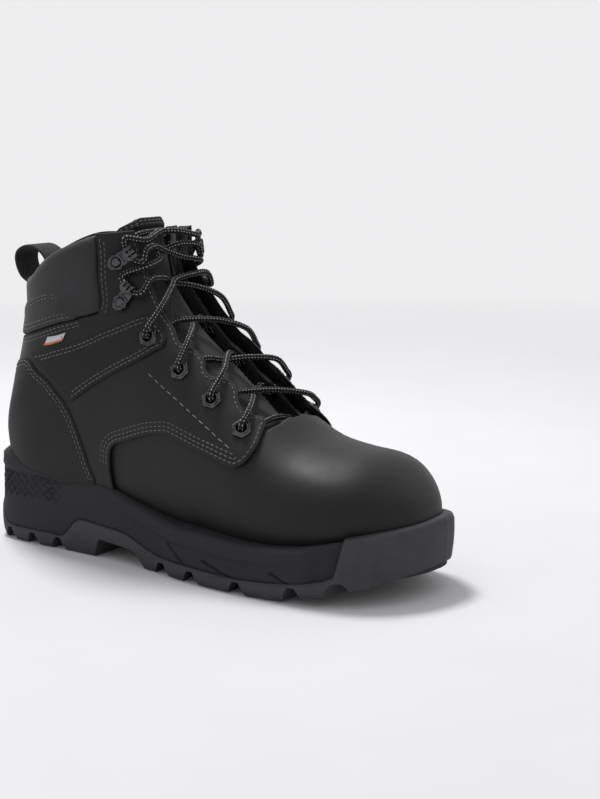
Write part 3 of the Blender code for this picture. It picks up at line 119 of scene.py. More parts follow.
def slices(station):
    """Slices of the last: their low and high points, widths, centre and fullness."""
    station = np.asarray(station, float)
    turn = np.clip(station, 0, NOSE_STATIONS) / NOSE_STATIONS * PI / 2
    rounded = NOSE_STATIONS * (1 - np.clip(np.cos(turn), 0, 1) ** (2 / NOSE_POWER))
    near = station < NOSE_STATIONS
    shrink = np.where(near, np.clip(np.sin(turn), 0, 1) ** (2 / NOSE_POWER), 1.0)
    rows = catmull(STATIONS, np.where(near, rounded, station)).copy()
    middle = (rows[..., 0:2] + rows[..., 2:4]) / 2
    rows[..., 0:2] = middle + (rows[..., 0:2] - middle) * shrink[..., None]
    rows[..., 2:4] = middle + (rows[..., 2:4] - middle) * shrink[..., None]
    rows[..., 4:6] *= shrink[..., None]
    return rows


def last_points(station, angle):
    rows = slices(station)
    angle = wrapped(angle)
    rise = (1 - np.cos(angle)) / 2
    fullness = rows[..., 7] + (rows[..., 8] - rows[..., 7]) * rise
    reach = np.abs(np.sin(angle)) ** fullness
    half = np.where(angle > 0, rows[..., 4], rows[..., 5])
    x = rows[..., 0] + (rows[..., 2] - rows[..., 0]) * rise
    z = rows[..., 1] + (rows[..., 3] - rows[..., 1]) * rise
    y = rows[..., 6] - np.copysign(half * reach, angle)
    return np.stack([x, y, z], -1) * MM


def last_frames(station, angle):
    """Directions along the stations and round the slice, and outward normals."""
    step = 0.002
    station = np.asarray(station, float)
    angle = np.asarray(angle, float)
    held = np.clip(station, 2 * step, LAST_STATION - 2 * step)
    along = (last_points(held + step, angle) - last_points(held - step, angle)) / (2 * step)
    around = (last_points(held, angle + step) - last_points(held, angle - step)) / (2 * step)
    normal = np.cross(around, along)
    length = np.linalg.norm(normal, axis=-1, keepdims=True)
    flat = (held[..., None] < 0.05) | (length < 1e-12)
    normal = np.where(flat, np.array([1.0, 0, 0]), normal / np.maximum(length, 1e-12))
    return along, around, normal


def on_last(station, angle, depth):
    """Points at a depth from the last's surface, positive outwards."""
    return last_points(station, angle) + last_frames(station, angle)[2] * np.asarray(depth)[..., None]


def side_line(*points):
    """Stations and angles of a line of (x, z) points drawn on the outer side."""
    points = np.array(points, float)
    x, z = points[:, 0], points[:, 1]

    def miss(station):
        rows = slices(station)
        return ((rows[:, 2] - rows[:, 0]) * (z - rows[:, 1]) - (rows[:, 3] - rows[:, 1]) * (x - rows[:, 0]))

    before = np.full(len(x), NOSE_STATIONS)
    after = np.full(len(x), float(LAST_STATION))
    start = miss(before)
    for _ in range(40):
        middle = (before + after) / 2
        same = start * miss(middle) > 0
        before, after = np.where(same, middle, before), np.where(same, after, middle)
    rows = slices(before)
    run_x, run_z = rows[:, 2] - rows[:, 0], rows[:, 3] - rows[:, 1]
    rise = ((x - rows[:, 0]) * run_x + (z - rows[:, 1]) * run_z) / (run_x ** 2 + run_z ** 2)
    return [(float(s), float(a)) for s, a in zip(before, np.arccos(np.clip(1 - 2 * rise, -1, 1)))]


# ---------------------------------------------------------------- charts: the last laid flat
STATION_PITCH, ANGLE_PITCH = 13.0, 42.0
TOE_PITCH, TOE_STATIONS, TOE_SQUEEZE = 18.0, 3.0, 0.55


class BandChart:
    """Stations along, angles across, centred on one angle: 0 for the heel, pi for the ridge."""

    def __init__(self, centre):
        self.centre = centre

    def flat(self, places):
        places = np.asarray(places, float)
        return np.stack([places[:, 0] * STATION_PITCH, wrapped(places[:, 1] - self.centre) * ANGLE_PITCH], -1)

    def places(self, flat):
        return np.stack([flat[:, 0] / STATION_PITCH, wrapped(flat[:, 1] / ANGLE_PITCH + self.centre)], -1)


class ToeChart:
    """A disc with the tip of the toe in its middle."""

    def flat(self, places):
        places = np.asarray(places, float)
        reach = (np.minimum(places[:, 0], TOE_STATIONS)
                 + np.maximum(places[:, 0] - TOE_STATIONS, 0) * TOE_SQUEEZE) * TOE_PITCH
        return np.stack([np.cos(places[:, 1]) * reach, np.sin(places[:, 1]) * reach], -1)

    def places(self, flat):
        reach = np.hypot(flat[:, 0], flat[:, 1]) / TOE_PITCH
        station = np.minimum(reach, TOE_STATIONS) + np.maximum(reach - TOE_STATIONS, 0) / TOE_SQUEEZE
        return np.stack([station, np.arctan2(flat[:, 1], flat[:, 0])], -1)


HEEL_CHART, RIDGE_CHART, TOE_CHART = BandChart(0.0), BandChart(PI), ToeChart()


def smooth_run(flat, spacing):
    """Points about a spacing apart on a smooth line through flat points, without the last."""
    run = []
    for i in range(len(flat) - 1):
        length = float(np.linalg.norm(flat[i + 1] - flat[i]))
        count = max(1, round(length / spacing))
        run.append(catmull(flat, i + np.arange(count) / count))
    return np.vstack(run) if run else np.zeros((0, 2))


def closed_outline(chart, runs, spacing=1.1):
    """Closed outline in a chart, through runs that join at corners."""
    parts = []
    for i, run in enumerate(runs):
        flat = chart.flat(run)
        following = chart.flat(runs[(i + 1) % len(runs)][:1])
        if np.linalg.norm(following[0] - flat[-1]) > 1e-6:
            flat = np.vstack([flat, following])
        parts.append(smooth_run(flat, spacing))
    return np.vstack(parts)


def mirrored_runs(runs):
    other = [[(s, -a) for s, a in reversed(run)] for run in reversed(runs)]
    return runs + other


def on_side(side, runs):
    """Runs for one side, drawn on the outer side."""
    if side == LATERAL:
        return runs
    return [[(s, -a) for s, a in run] for run in runs]


def travelled_along(path):
    """Distance travelled at each point of a path."""
    return np.concatenate([[0], np.cumsum(np.linalg.norm(np.diff(path, axis=0), axis=1))])


def point_at(path, travelled, at):
    return np.array([np.interp(at, travelled, path[:, k]) for k in range(3)])


def inside(points, outline):
    """Which flat points are inside a closed flat outline."""
    a, b = outline, np.roll(outline, -1, 0)
    result = np.zeros(len(points), bool)
    for (ax, ay), (bx, by) in zip(a, b):
        if ay == by:
            continue
        crosses = (ay > points[:, 1]) != (by > points[:, 1])
        left = points[:, 0] < ax + (points[:, 1] - ay) / (by - ay) * (bx - ax)
        result ^= crosses & left
    return result


def nearest_distance(points, others):
    best = np.empty(len(points))
    for i in range(0, len(points), 1500):
        block = points[i:i + 1500]
        best[i:i + 1500] = np.sqrt(((block[:, None] - others[None]) ** 2).sum(-1).min(1))
    return best


def stepped(places, along, around, wanted):
    """Places after a step in metres, given as a direction in space along the last."""
    aa, ab, bb = (along * along).sum(1), (along * around).sum(1), (around * around).sum(1)
    wa, wb = (wanted * along).sum(1), (wanted * around).sum(1)
    scale = aa * bb - ab * ab
    return places + np.stack([(wa * bb - wb * ab) / scale, (wb * aa - wa * ab) / scale], -1)


def offset_places(places, distance, sign=1.0):
    """A closed line of places moved sideways on the last by a distance in metres."""
    points = last_points(places[:, 0], places[:, 1])
    along, around, normal = last_frames(places[:, 0], places[:, 1])
    tangent = np.roll(points, -1, 0) - np.roll(points, 1, 0)
    wanted = np.cross(normal, tangent)
    wanted *= sign * distance / np.maximum(np.linalg.norm(wanted, axis=1, keepdims=True), 1e-12)
    return stepped(places, along, around, wanted)


def circle_places(place, radius, count=28):
    """Places round a circle on the last."""
    station, angle = np.full(count, place[0]), np.full(count, place[1])
    along, around, normal = last_frames(station, angle)
    ahead = along / np.linalg.norm(along, axis=1, keepdims=True)
    across = np.cross(normal, ahead)
    turn = np.linspace(0, 2 * PI, count, endpoint=False)[:, None]
    wanted = (ahead * np.cos(turn) + across * np.sin(turn)) * radius
    return stepped(np.stack([station, angle], -1), along, around, wanted)


# ---------------------------------------------------------------- objects
PIECES = bpy.data.collections.new("boot_looks")
SCRATCH = bpy.data.collections.new("boot_scratch")
bpy.context.scene.collection.children.link(PIECES)
bpy.context.scene.collection.children.link(SCRATCH)
SCRATCH.hide_render = True


def mesh_from(name, points, faces):
    mesh = bpy.data.meshes.new(name)
    mesh.from_pydata([tuple(p) for p in points], [], [tuple(int(i) for i in f) for f in faces])
    mesh.update()
    return mesh


def ring_quads(first, rings, count):
    """Quads between closed rings of points, numbered from a first point."""
    return [(a + i, a + (i + 1) % count, a + count + (i + 1) % count, a + count + i)
            for a in range(first, first + (rings - 1) * count, count) for i in range(count)]


def cell(row, column, columns):
    """Corner numbers of one cell in a grid of points."""
    a = row * (columns + 1) + column
    return a, a + 1, a + columns + 2, a + columns + 1


def in_bmesh(thing, operation):
    """Run a bmesh operation on all of a piece's faces."""
    work = bmesh.new()
    work.from_mesh(thing.data)
    operation(work, faces=work.faces)
    work.to_mesh(thing.data)
    work.free()


def tidy_normals(thing):
    in_bmesh(thing, bmesh.ops.recalc_face_normals)


def triangulate(thing):
    in_bmesh(thing, bmesh.ops.triangulate)


def modify(thing, kind, **values):
    """Add a modifier with these settings."""
    modifier = thing.modifiers.new(kind.lower(), kind)
    for key, value in values.items():
        setattr(modifier, key, value)
    return modifier


def evaluated(thing):
    bpy.context.view_layer.update()
    graph = bpy.context.evaluated_depsgraph_get()
    return bpy.data.meshes.new_from_object(thing.evaluated_get(graph), depsgraph=graph)


def bake_modifiers(thing):
    """The piece's mesh with its modifiers applied."""
    mesh = evaluated(thing)
    thing.modifiers.clear()
    old = thing.data
    thing.data = mesh
    bpy.data.meshes.remove(old)
    return thing


def smooth(thing, degrees=45):
    thing.data.shade_smooth()
    thing.data.set_sharp_from_angle(angle=math.radians(degrees))


def finish_piece(thing, look, body="boot", nodes=(), degrees=45):
    """Material, slot, body and the CAD nodes that a piece stands for."""
    thing.data.materials.clear()
    thing.data.materials.append(MATERIALS[look])
    smooth(thing, degrees)
    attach(thing, body)
    if nodes:
        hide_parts(*nodes)
    return thing


def new_thing(name, mesh, collection=None):
    thing = bpy.data.objects.new(name, mesh)
    (collection or PIECES).objects.link(thing)
    return thing


# ---------------------------------------------------------------- panels on the last
EDGE_PROFILE = ((0.0, -0.62), (0.3, -0.26), (0.8, -0.04), (1.5, 0.0), (2.3, -0.16), (3.2, 0.02), (4.6, -0.10),
                (5.6, 0.03), (7.0, 0.0))
PLAIN_PROFILE = ((0.0, -0.5), (0.3, -0.2), (0.8, -0.03), (1.6, 0.0))
PUFF_PROFILE = ((0.0, -3.4), (0.5, -2.1), (1.2, -1.2), (2.2, -0.55), (3.6, -0.1), (5.5, 0.15), (8.0, 0.3))
FLAT_PROFILE = ((0.0, -0.15), (0.5, 0.0))
ROW_SHARE = 0.87                    # a triangle lattice's row pitch, as a share of its spacing
KEPT_SHARE = 0.93                   # an inset point stays where its true distance is this share or more


def waves(points, scale, seed):
    """Smooth noise from -1 to 1 at each point."""
    shift = Vector((seed * 3.7, seed * 1.3, seed * 7.1))
    return np.array([noise.noise(Vector(p) / scale + shift) for p in points])


class Panel:
    """A piece of leather, cloth or plate on the last: its outline, holes and the profile of its edge."""

    def __init__(self, chart, runs, depth, holes=(), profile=EDGE_PROFILE, spacing=2.6, relief=None):
        self.chart, self.depth, self.profile, self.relief = chart, depth, profile, relief
        self.outline = closed_outline(chart, runs)
        self.edge = chart.places(self.outline)
        self.edge_points = last_points(self.edge[:, 0], self.edge[:, 1])
        trial = chart.flat(offset_places(self.edge, 0.4 * MM))
        self.sign = 1.0 if inside(trial, self.outline).mean() > 0.5 else -1.0
        self.holes = [circle_places(place, radius) for place, radius in holes]
        self.spacing = spacing

    def inset(self, distance):
        """Places round the panel, a distance inside its edge, that no other stretch of edge is nearer to."""
        moved = offset_places(self.edge, distance, self.sign)
        gap = nearest_distance(last_points(moved[:, 0], moved[:, 1]), self.edge_points)
        return moved, gap > KEPT_SHARE * distance

    def rim_parts(self):
        """Flat outline and holes, the edges along them, and their points in space."""
        flats, rims = [self.outline], [self.edge_points]
        for hole in self.holes:
            flats.append(self.chart.flat(hole))
            rims.append(last_points(hole[:, 0], hole[:, 1]))
        edges, start = [], 0
        for flat in flats:
            count = len(flat)
            edges += [(start + i, start + (i + 1) % count) for i in range(count)]
            start += count
        return flats, edges, np.vstack(rims)

    def lattice(self):
        """Flat points of a triangle lattice inside the outline."""
        pitch = self.spacing * ROW_SHARE
        low, high = self.outline.min(0), self.outline.max(0)
        rows = np.arange(math.floor(low[1] / pitch), math.ceil(high[1] / pitch) + 1)
        columns = np.arange(math.floor(low[0] / self.spacing) - 1, math.ceil(high[0] / self.spacing) + 1)
        grid = np.array([((c + 0.5 * (r % 2)) * self.spacing, r * self.spacing * ROW_SHARE)
                         for r in rows for c in columns])
        return grid[inside(grid, self.outline)]

    def rim_distance(self, flat, rims):
        """Distance in metres of flat points from the nearest rim."""
        spots = self.chart.places(flat)
        return nearest_distance(last_points(spots[:, 0], spots[:, 1]), rims)

    def fill(self):
        """Places, triangles and each place's distance from the edge, in millimetres."""
        flats, edges, rims = self.rim_parts()
        fixed = len(flats)
        reach = self.profile[-1][0]
        for distance, _ in self.profile[1:]:
            moved, kept = self.inset(distance * MM)
            step = 1 if distance < 2.4 else 2
            flats.append(self.chart.flat(moved[kept])[::step])
        grid = self.lattice()
        flats.append(grid[self.rim_distance(grid, rims) > (reach + 1.0) * MM])
        for hole in self.holes:
            rim = self.chart.flat(hole)
            flats[fixed:] = [f[~inside(f, rim)] for f in flats[fixed:]]
        flat = np.vstack(flats)
        points = [Vector(p) for p in flat]
        flat, _, triangles, _, _, _ = delaunay_2d_cdt(points, edges, [], 1, 1e-5)
        flat = np.array([tuple(p) for p in flat])
        triangles = np.array([tuple(t) for t in triangles])
        middles = flat[triangles].mean(1)
        kept = inside(middles, self.outline)
        for hole in self.holes:
            kept &= ~inside(middles, self.chart.flat(hole))
        triangles = triangles[kept]
        used = np.unique(triangles)
        renumber = np.full(len(flat), -1)
        renumber[used] = np.arange(len(used))
        flat, triangles = flat[used], renumber[triangles]
        return self.chart.places(flat), triangles, self.rim_distance(flat, rims) / MM

    def heights(self, spots, away):
        table = np.array(self.profile)
        height = self.depth + np.interp(away, table[:, 0], table[:, 1]) * MM
        if self.relief is not None:
            height = height + self.relief(spots) * np.clip(away / 6, 0, 1)
        return height

    def surface(self):
        """Points and triangles of the outer surface, facing outwards."""
        spots, triangles, away = self.fill()
        points = on_last(spots[:, 0], spots[:, 1], self.heights(spots, away))
        a, b, c = (points[triangles[:, k]] for k in range(3))
        middle = spots[triangles[:, 0]]
        out = last_frames(middle[:, 0], middle[:, 1])[2]
        wrong = (np.cross(b - a, c - a) * out).sum(1) < 0
        triangles[wrong] = triangles[wrong][:, ::-1]
        return points, triangles, spots, away

    def solid(self, name, thickness):
        points, triangles, _, _ = self.surface()
        thing = new_thing(name, mesh_from(name, points, triangles))
        modify(thing, "SOLIDIFY", thickness=thickness, offset=-1.0)
        return bake_modifiers(thing)

    def pad(self, name, inner_depth, inner_profile):
        """Closed cushion between this panel's surface and an inner depth."""
        points, triangles, spots, away = self.surface()
        table = np.array(inner_profile)
        depth = inner_depth - np.interp(away, table[:, 0], table[:, 1]) * MM
        inner = on_last(spots[:, 0], spots[:, 1], depth)
        count = len(points)
        edges = {}
        for triangle in triangles:
            for a, b in zip(triangle, np.roll(triangle, -1)):
                edges[(int(a), int(b))] = True
        rim = [(a, b) for a, b in edges if (b, a) not in edges]
        faces = [tuple(t) for t in triangles] + [tuple(t[::-1] + count) for t in triangles]
        faces += [(b, a, a + count, b + count) for a, b in rim]
        return new_thing(name, mesh_from(name, np.vstack([points, inner]), faces))

    def rows(self, start, end, distances, lift=0.0):
        """Stitch lines along the shorter edge between two places, at distances inside it."""
        flat = self.chart.flat(np.array([start, end], float))
        first = int(((self.outline - flat[0]) ** 2).sum(1).argmin())
        last = int(((self.outline - flat[1]) ** 2).sum(1).argmin())
        count = len(self.outline)
        forward = (last - first) % count
        if forward <= count / 2:
            picks = (first + np.arange(forward + 1)) % count
        else:
            picks = (first - np.arange((first - last) % count + 1)) % count
        lines = []
        for distance in distances:
            moved, kept = self.inset(distance * MM)
            keep = [i for i in picks if kept[i]]
            lines.append(self.line(moved[keep], lift))
        return lines

    def line(self, places, lift=0.0):
        """Points and normals on the panel's surface at these places."""
        places = np.asarray(places, float)
        return (on_last(places[:, 0], places[:, 1], np.full(len(places), self.depth + lift)),
                last_frames(places[:, 0], places[:, 1])[2])

    def drawn(self, places, lift=0.0, spacing=1.2):
        """A stitch line through the given places."""
        flat = self.chart.flat(places)
        return self.line(self.chart.places(np.vstack([smooth_run(flat, spacing), flat[-1:]])), lift)


# ---------------------------------------------------------------- stitches
THREAD_RADIUS = 0.34 * MM
STITCH = 2.5 * MM
STITCH_GAP = 0.85 * MM
THREAD_SIDES = 6
SEAM_BREAK = 6 * MM                 # a longer step along a line starts a new run of stitches
# along, thickness and lift of each ring of a stitch
STITCH_SHAPE = ((-1.0, 0.25, -0.55), (-0.78, 0.85, -0.12), (0.0, 1.0, 0.25), (0.78, 0.85, -0.12),
                (1.0, 0.25, -0.55))
TWO_ROWS = (2.2, 4.4)               # seam rows' distances from an edge, in millimetres


def seam_runs(lines):
    """Each unbroken run of points in the lines, with its normals and the distance travelled."""
    for path, normals in lines:
        if len(path) < 2:
            continue
        steps = np.linalg.norm(np.diff(path, axis=0), axis=1)
        jumps = [0] + [i + 1 for i, step in enumerate(steps) if step > SEAM_BREAK] + [len(path)]
        for first, last in zip(jumps, jumps[1:]):
            run = path[first:last]
            if len(run) > 1:
                yield run, normals[first:last], travelled_along(run)


def stitch_frame(run, out, travelled, at, length):
    """Middle, span and directions of a stitch, or None where its line turns back on itself."""
    start, middle, end = (point_at(run, travelled, at + share * length) for share in (-0.5, 0, 0.5))
    tangent = end - start
    span = np.linalg.norm(tangent)
    if span < 0.4 * length:
        return None
    tangent /= span
    across = np.cross(tangent, point_at(out, travelled, at))
    across /= np.linalg.norm(across)
    return middle, span, tangent, across, np.cross(across, tangent)


def stitches(name, lines, look="thread", body="boot", radius=THREAD_RADIUS,
             length=STITCH, gap=STITCH_GAP):
    """Every stitch along the lines, as one piece."""
    sides = THREAD_SIDES
    points, faces = [], []
    pitch = length + gap
    for run, out, travelled in seam_runs(lines):
        for k in range(int(travelled[-1] / pitch)):
            at = (k + 0.5) * pitch + RANDOM.uniform(-0.08, 0.08) * MM
            found = stitch_frame(run, out, travelled, at, length)
            if found is None:
                continue
            middle, span, tangent, across, normal = found
            tangent = tangent + across * RANDOM.uniform(-0.06, 0.06)
            base = len(points)
            for along, thick, lift in STITCH_SHAPE:
                centre = middle + tangent * along * span / 2 + normal * lift * radius
                for s in range(sides):
                    turn = 2 * PI * s / sides
                    out_of_line = across * math.cos(turn) + normal * math.sin(turn)
                    points.append(centre + out_of_line * thick * radius)
            faces += ring_quads(base, len(STITCH_SHAPE), sides)
            top = base + (len(STITCH_SHAPE) - 1) * sides
            faces.append(tuple(base + s for s in reversed(range(sides))))
            faces.append(tuple(top + s for s in range(sides)))
    thing = new_thing(name, mesh_from(name, points, faces))
    finish_piece(thing, look, body, degrees=80)


# ---------------------------------------------------------------- materials
class Nodes:
    """Builds a material's node tree."""

    def __init__(self, name, colour, roughness, metallic=0.0, **extra):
        self.material = bpy.data.materials.new(name)
        self.material.use_nodes = True
        self.tree = self.material.node_tree
        self.shader = self.tree.nodes["Principled BSDF"]
        self.shader.inputs["Base Color"].default_value = (*colour, 1)
        self.shader.inputs["Roughness"].default_value = roughness
        self.shader.inputs["Metallic"].default_value = metallic
        for key, value in extra.items():
            self.shader.inputs[key.replace("_", " ")].default_value = value
        self.coords = self.new("ShaderNodeTexCoord").outputs["Object"]
        self.normal = None

    def new(self, kind, inputs=None, **values):
        node = self.tree.nodes.new(kind)
        for key, value in values.items():
            setattr(node, key, value)
        for key, value in (inputs or {}).items():
            node.inputs[key].default_value = value
        return node

    def link(self, source, target):
        self.tree.links.new(source, target)

    def noise(self, scale, detail=4.0, roughness=0.55, stretch=None):
        node = self.new("ShaderNodeTexNoise", {"Scale": scale, "Detail": detail, "Roughness": roughness})
        self.link(self.stretched(stretch), node.inputs["Vector"])
        return node.outputs["Fac"]

    def cells(self, scale):
        node = self.new("ShaderNodeTexVoronoi", {"Scale": scale})
        self.link(self.coords, node.inputs["Vector"])
        return node.outputs["Distance"]

    def wave(self, scale, direction="X", distortion=0.0, coords=None):
        node = self.new("ShaderNodeTexWave", {"Scale": scale, "Distortion": distortion},
                        bands_direction=direction)
        self.link(coords or self.coords, node.inputs["Vector"])
        return node.outputs["Fac"]

    def stretched(self, stretch):
        if stretch is None:
            return self.coords
        node = self.new("ShaderNodeMapping", {"Scale": stretch})
        self.link(self.coords, node.inputs["Vector"])
        return node.outputs["Vector"]

    def maths(self, operation, a, b):
        node = self.new("ShaderNodeMath", operation=operation)
        for socket, value in zip(node.inputs, (a, b)):
            if isinstance(value, (int, float)):
                socket.default_value = value
            else:
                self.link(value, socket)
        return node.outputs[0]

    def spread(self, source, low, high, start=0.0, end=1.0):
        node = self.new("ShaderNodeMapRange",
                        {"From Min": start, "From Max": end, "To Min": low, "To Max": high})
        self.link(source, node.inputs["Value"])
        return node.outputs["Result"]

    def vary_colour(self, source, dark, light, start=0.3, end=0.7):
        """Base colour between two shades."""
        node = self.new("ShaderNodeMix", {"A": (*dark, 1), "B": (*light, 1)}, data_type="RGBA")
        self.link(self.spread(source, 0, 1, start, end), node.inputs["Factor"])
        self.link(node.outputs["Result"], self.shader.inputs["Base Color"])

    def vary_roughness(self, source, low, high, start=0.3, end=0.7):
        self.link(self.spread(source, low, high, start, end), self.shader.inputs["Roughness"])

    def bump(self, source, depth, strength=1.0):
        """Bump of a depth in metres, over the bumps already there."""
        node = self.new("ShaderNodeBump", {"Strength": strength, "Distance": depth})
        self.link(source, node.inputs["Height"])
        if self.normal is not None:
            self.link(self.normal, node.inputs["Normal"])
        self.normal = node.outputs["Normal"]
        self.link(self.normal, self.shader.inputs["Normal"])


def bands(pitch):
    """A wave texture's scale for a pitch in millimetres."""
    return 2 * PI / 20 / (pitch * MM)


def shade(colour, factor):
    return tuple(c * factor for c in colour)


def leather_material(name, colour, roughness=0.52, grain=0.5, grain_scale=900, sheen=0.03):
    """Full-grain leather: fine pebbles, pores, soft patches and scuffs."""
    n = Nodes(name, colour, roughness, Sheen_Weight=sheen, Sheen_Roughness=0.5, Specular_IOR_Level=0.24)
    patches = n.noise(45, 5, 0.6)
    fine = n.noise(1500, 3, 0.6)
    pebbles = n.cells(grain_scale)
    pores = n.cells(grain_scale * 2.3)
    n.vary_colour(n.maths("ADD", n.maths("MULTIPLY", patches, 0.7), n.maths("MULTIPLY", fine, 0.3)),
                  shade(colour, 0.72), shade(colour, 1.35), 0.35, 0.68)
    n.vary_roughness(patches, roughness - 0.06, roughness + 0.08, 0.25, 0.75)
    n.bump(patches, 0.5 * MM, 0.25)
    n.bump(pebbles, 0.025 * MM * grain, 0.6)
    n.bump(pores, 0.02 * MM * grain, 0.6)
    n.bump(fine, 0.008 * MM, 0.5)
    return n.material


def woven_material(name, colour, pitch=1.1, roughness=0.88, depth=0.16, light=1.6):
    """Cloth: crossed threads with a little fuzz."""
    n = Nodes(name, colour, roughness, Sheen_Weight=0.06, Sheen_Roughness=0.6, Specular_IOR_Level=0.2)
    scale = bands(pitch)
    diagonal = n.new("ShaderNodeMapping", {"Rotation": (0.6, 0.5, 0.8)})
    n.link(n.coords, diagonal.inputs["Vector"])
    first = n.wave(scale, "X", 0.6, diagonal.outputs["Vector"])
    second = n.wave(scale, "Y", 0.6, diagonal.outputs["Vector"])
    weave = n.maths("MAXIMUM", first, second)
    fuzz = n.noise(2600, 2, 0.6)
    patches = n.noise(60, 4)
    n.vary_colour(n.maths("MULTIPLY", weave, n.maths("ADD", fuzz, 0.45)),
                  shade(colour, 0.5), shade(colour, light), 0.2, 1.0)
    n.vary_roughness(patches, roughness - 0.06, min(1.0, roughness + 0.08))
    n.bump(weave, depth * MM, 0.9)
    n.bump(fuzz, 0.05 * MM, 0.7)
    return n.material


def rubber_material(name, colour, roughness=0.68, texture=520):
    """Moulded rubber: fine spark-eroded texture, dust in the low spots."""
    n = Nodes(name, colour, roughness, Specular_IOR_Level=0.3)
    dust = n.noise(70, 6, 0.65)
    fine = n.noise(texture * 4, 3, 0.6)
    cells = n.cells(texture * 2)
    n.vary_colour(dust, shade(colour, 0.82), shade(colour, 1.22), 0.35, 0.7)
    n.vary_roughness(n.maths("ADD", n.maths("MULTIPLY", dust, 0.5), n.maths("MULTIPLY", fine, 0.5)),
                     roughness - 0.1, roughness + 0.12)
    n.bump(cells, 0.05 * MM, 0.5)
    n.bump(fine, 0.05 * MM, 0.8)
    return n.material


def metal_material(name, colour, roughness, brushing=(1, 1, 14)):
    """Plated or pressed metal with fine brushing, tarnish and worn high spots."""
    n = Nodes(name, colour, roughness, 1.0)
    brush = n.noise(2400, 3, 0.6, brushing)
    stain = n.noise(220, 5, 0.6)
    n.vary_colour(stain, shade(colour, 0.6), shade(colour, 1.5), 0.35, 0.7)
    n.vary_roughness(n.maths("ADD", n.maths("MULTIPLY", brush, 0.5), n.maths("MULTIPLY", stain, 0.5)),
                     roughness - 0.1, roughness + 0.16)
    n.bump(brush, 0.02 * MM, 0.6)
    n.bump(stain, 0.05 * MM, 0.4)
    return n.material


def thread_material(name, colour):
    n = Nodes(name, colour, 0.6, Sheen_Weight=0.3)
    twist = n.wave(bands(0.55), "DIAGONAL", 1.0)
    fine = n.noise(3000, 2)
    n.vary_colour(n.maths("MULTIPLY", n.maths("ADD", twist, 0.5), n.maths("ADD", fine, 0.3)),
                  shade(colour, 0.45), shade(colour, 1.5), 0.2, 1.1)
    n.vary_roughness(fine, 0.5, 0.75)
    n.bump(twist, 0.08 * MM, 0.8)
    return n.material


def foam_material(name, colour, roughness=0.9):
    n = Nodes(name, colour, roughness)
    cells = n.cells(700)
    stain = n.noise(60, 5)
    n.vary_colour(stain, shade(colour, 0.85), shade(colour, 1.12))
    n.vary_roughness(cells, roughness - 0.12, min(1.0, roughness + 0.06), 0.0, 0.6)
    n.bump(cells, 0.3 * MM, 0.8)
    return n.material


def board_material(name, colour):
    n = Nodes(name, colour, 0.85)
    fibres = n.noise(400, 6, 0.7, (1, 6, 6))
    n.vary_colour(fibres, shade(colour, 0.7), shade(colour, 1.25))
    n.vary_roughness(fibres, 0.75, 0.95)
    n.bump(fibres, 0.15 * MM, 0.8)
    return n.material


def lace_material():
    """Round braid: dark strands with two rows of light flecks, from the braid attribute (length, angle,
    ridge); the ridge paints the strands' crowns lighter and the grooves between them darker as painted shade.
    """
    n = Nodes("lace_braid", (0.006, 0.006, 0.0065), 0.75, Specular_IOR_Level=0.2)
    attribute = n.new("ShaderNodeAttribute", attribute_name="braid")
    parts = n.new("ShaderNodeSeparateXYZ")
    n.link(attribute.outputs["Vector"], parts.inputs[0])
    length, turn, ridge = parts.outputs
    beat = n.maths("SINE", n.maths("MULTIPLY", length, 2 * PI / 0.0019), 0.0)
    row = n.maths("COSINE", n.maths("MULTIPLY", turn, 5.0), 0.0)
    fleck = n.maths("MULTIPLY", n.maths("GREATER_THAN", beat, 0.25), n.maths("GREATER_THAN", row, 0.8))
    fuzz = n.noise(2500, 2)
    shaded = n.maths("MULTIPLY", fleck, n.maths("ADD", fuzz, 0.35))
    # painted shade: the ridge, the strands' height, makes the crowns lighter and the grooves between strands
    # darker
    n.vary_colour(n.maths("ADD", n.maths("MULTIPLY", ridge, 0.02), shaded), (0.0035, 0.0035, 0.0038),
                  (0.40, 0.40, 0.41), 0.0, 1.0)
    n.vary_roughness(fuzz, 0.6, 0.85)
    n.bump(fuzz, 0.06 * MM, 0.8)
    return n.material


def label_material():
    """Woven label: a pale ground of crossed threads; the darker border stripe is not drawn, and the coloured
    lower edge is the separate hem strip.
    """
    n = Nodes("label_weave", (0.5, 0.5, 0.5), 0.8)
    weave = n.wave(bands(0.5), "X", 0.3)
    threads = n.wave(bands(0.35), "Z", 0.3)
    n.vary_colour(n.maths("ADD", n.maths("MULTIPLY", weave, 0.5), n.maths("MULTIPLY", threads, 0.5)),
                  (0.34, 0.35, 0.36), (0.62, 0.63, 0.64), 0.2, 0.9)
    n.vary_roughness(threads, 0.7, 0.9)
    n.bump(n.maths("MAXIMUM", weave, threads), 0.12 * MM, 0.8)
    return n.material


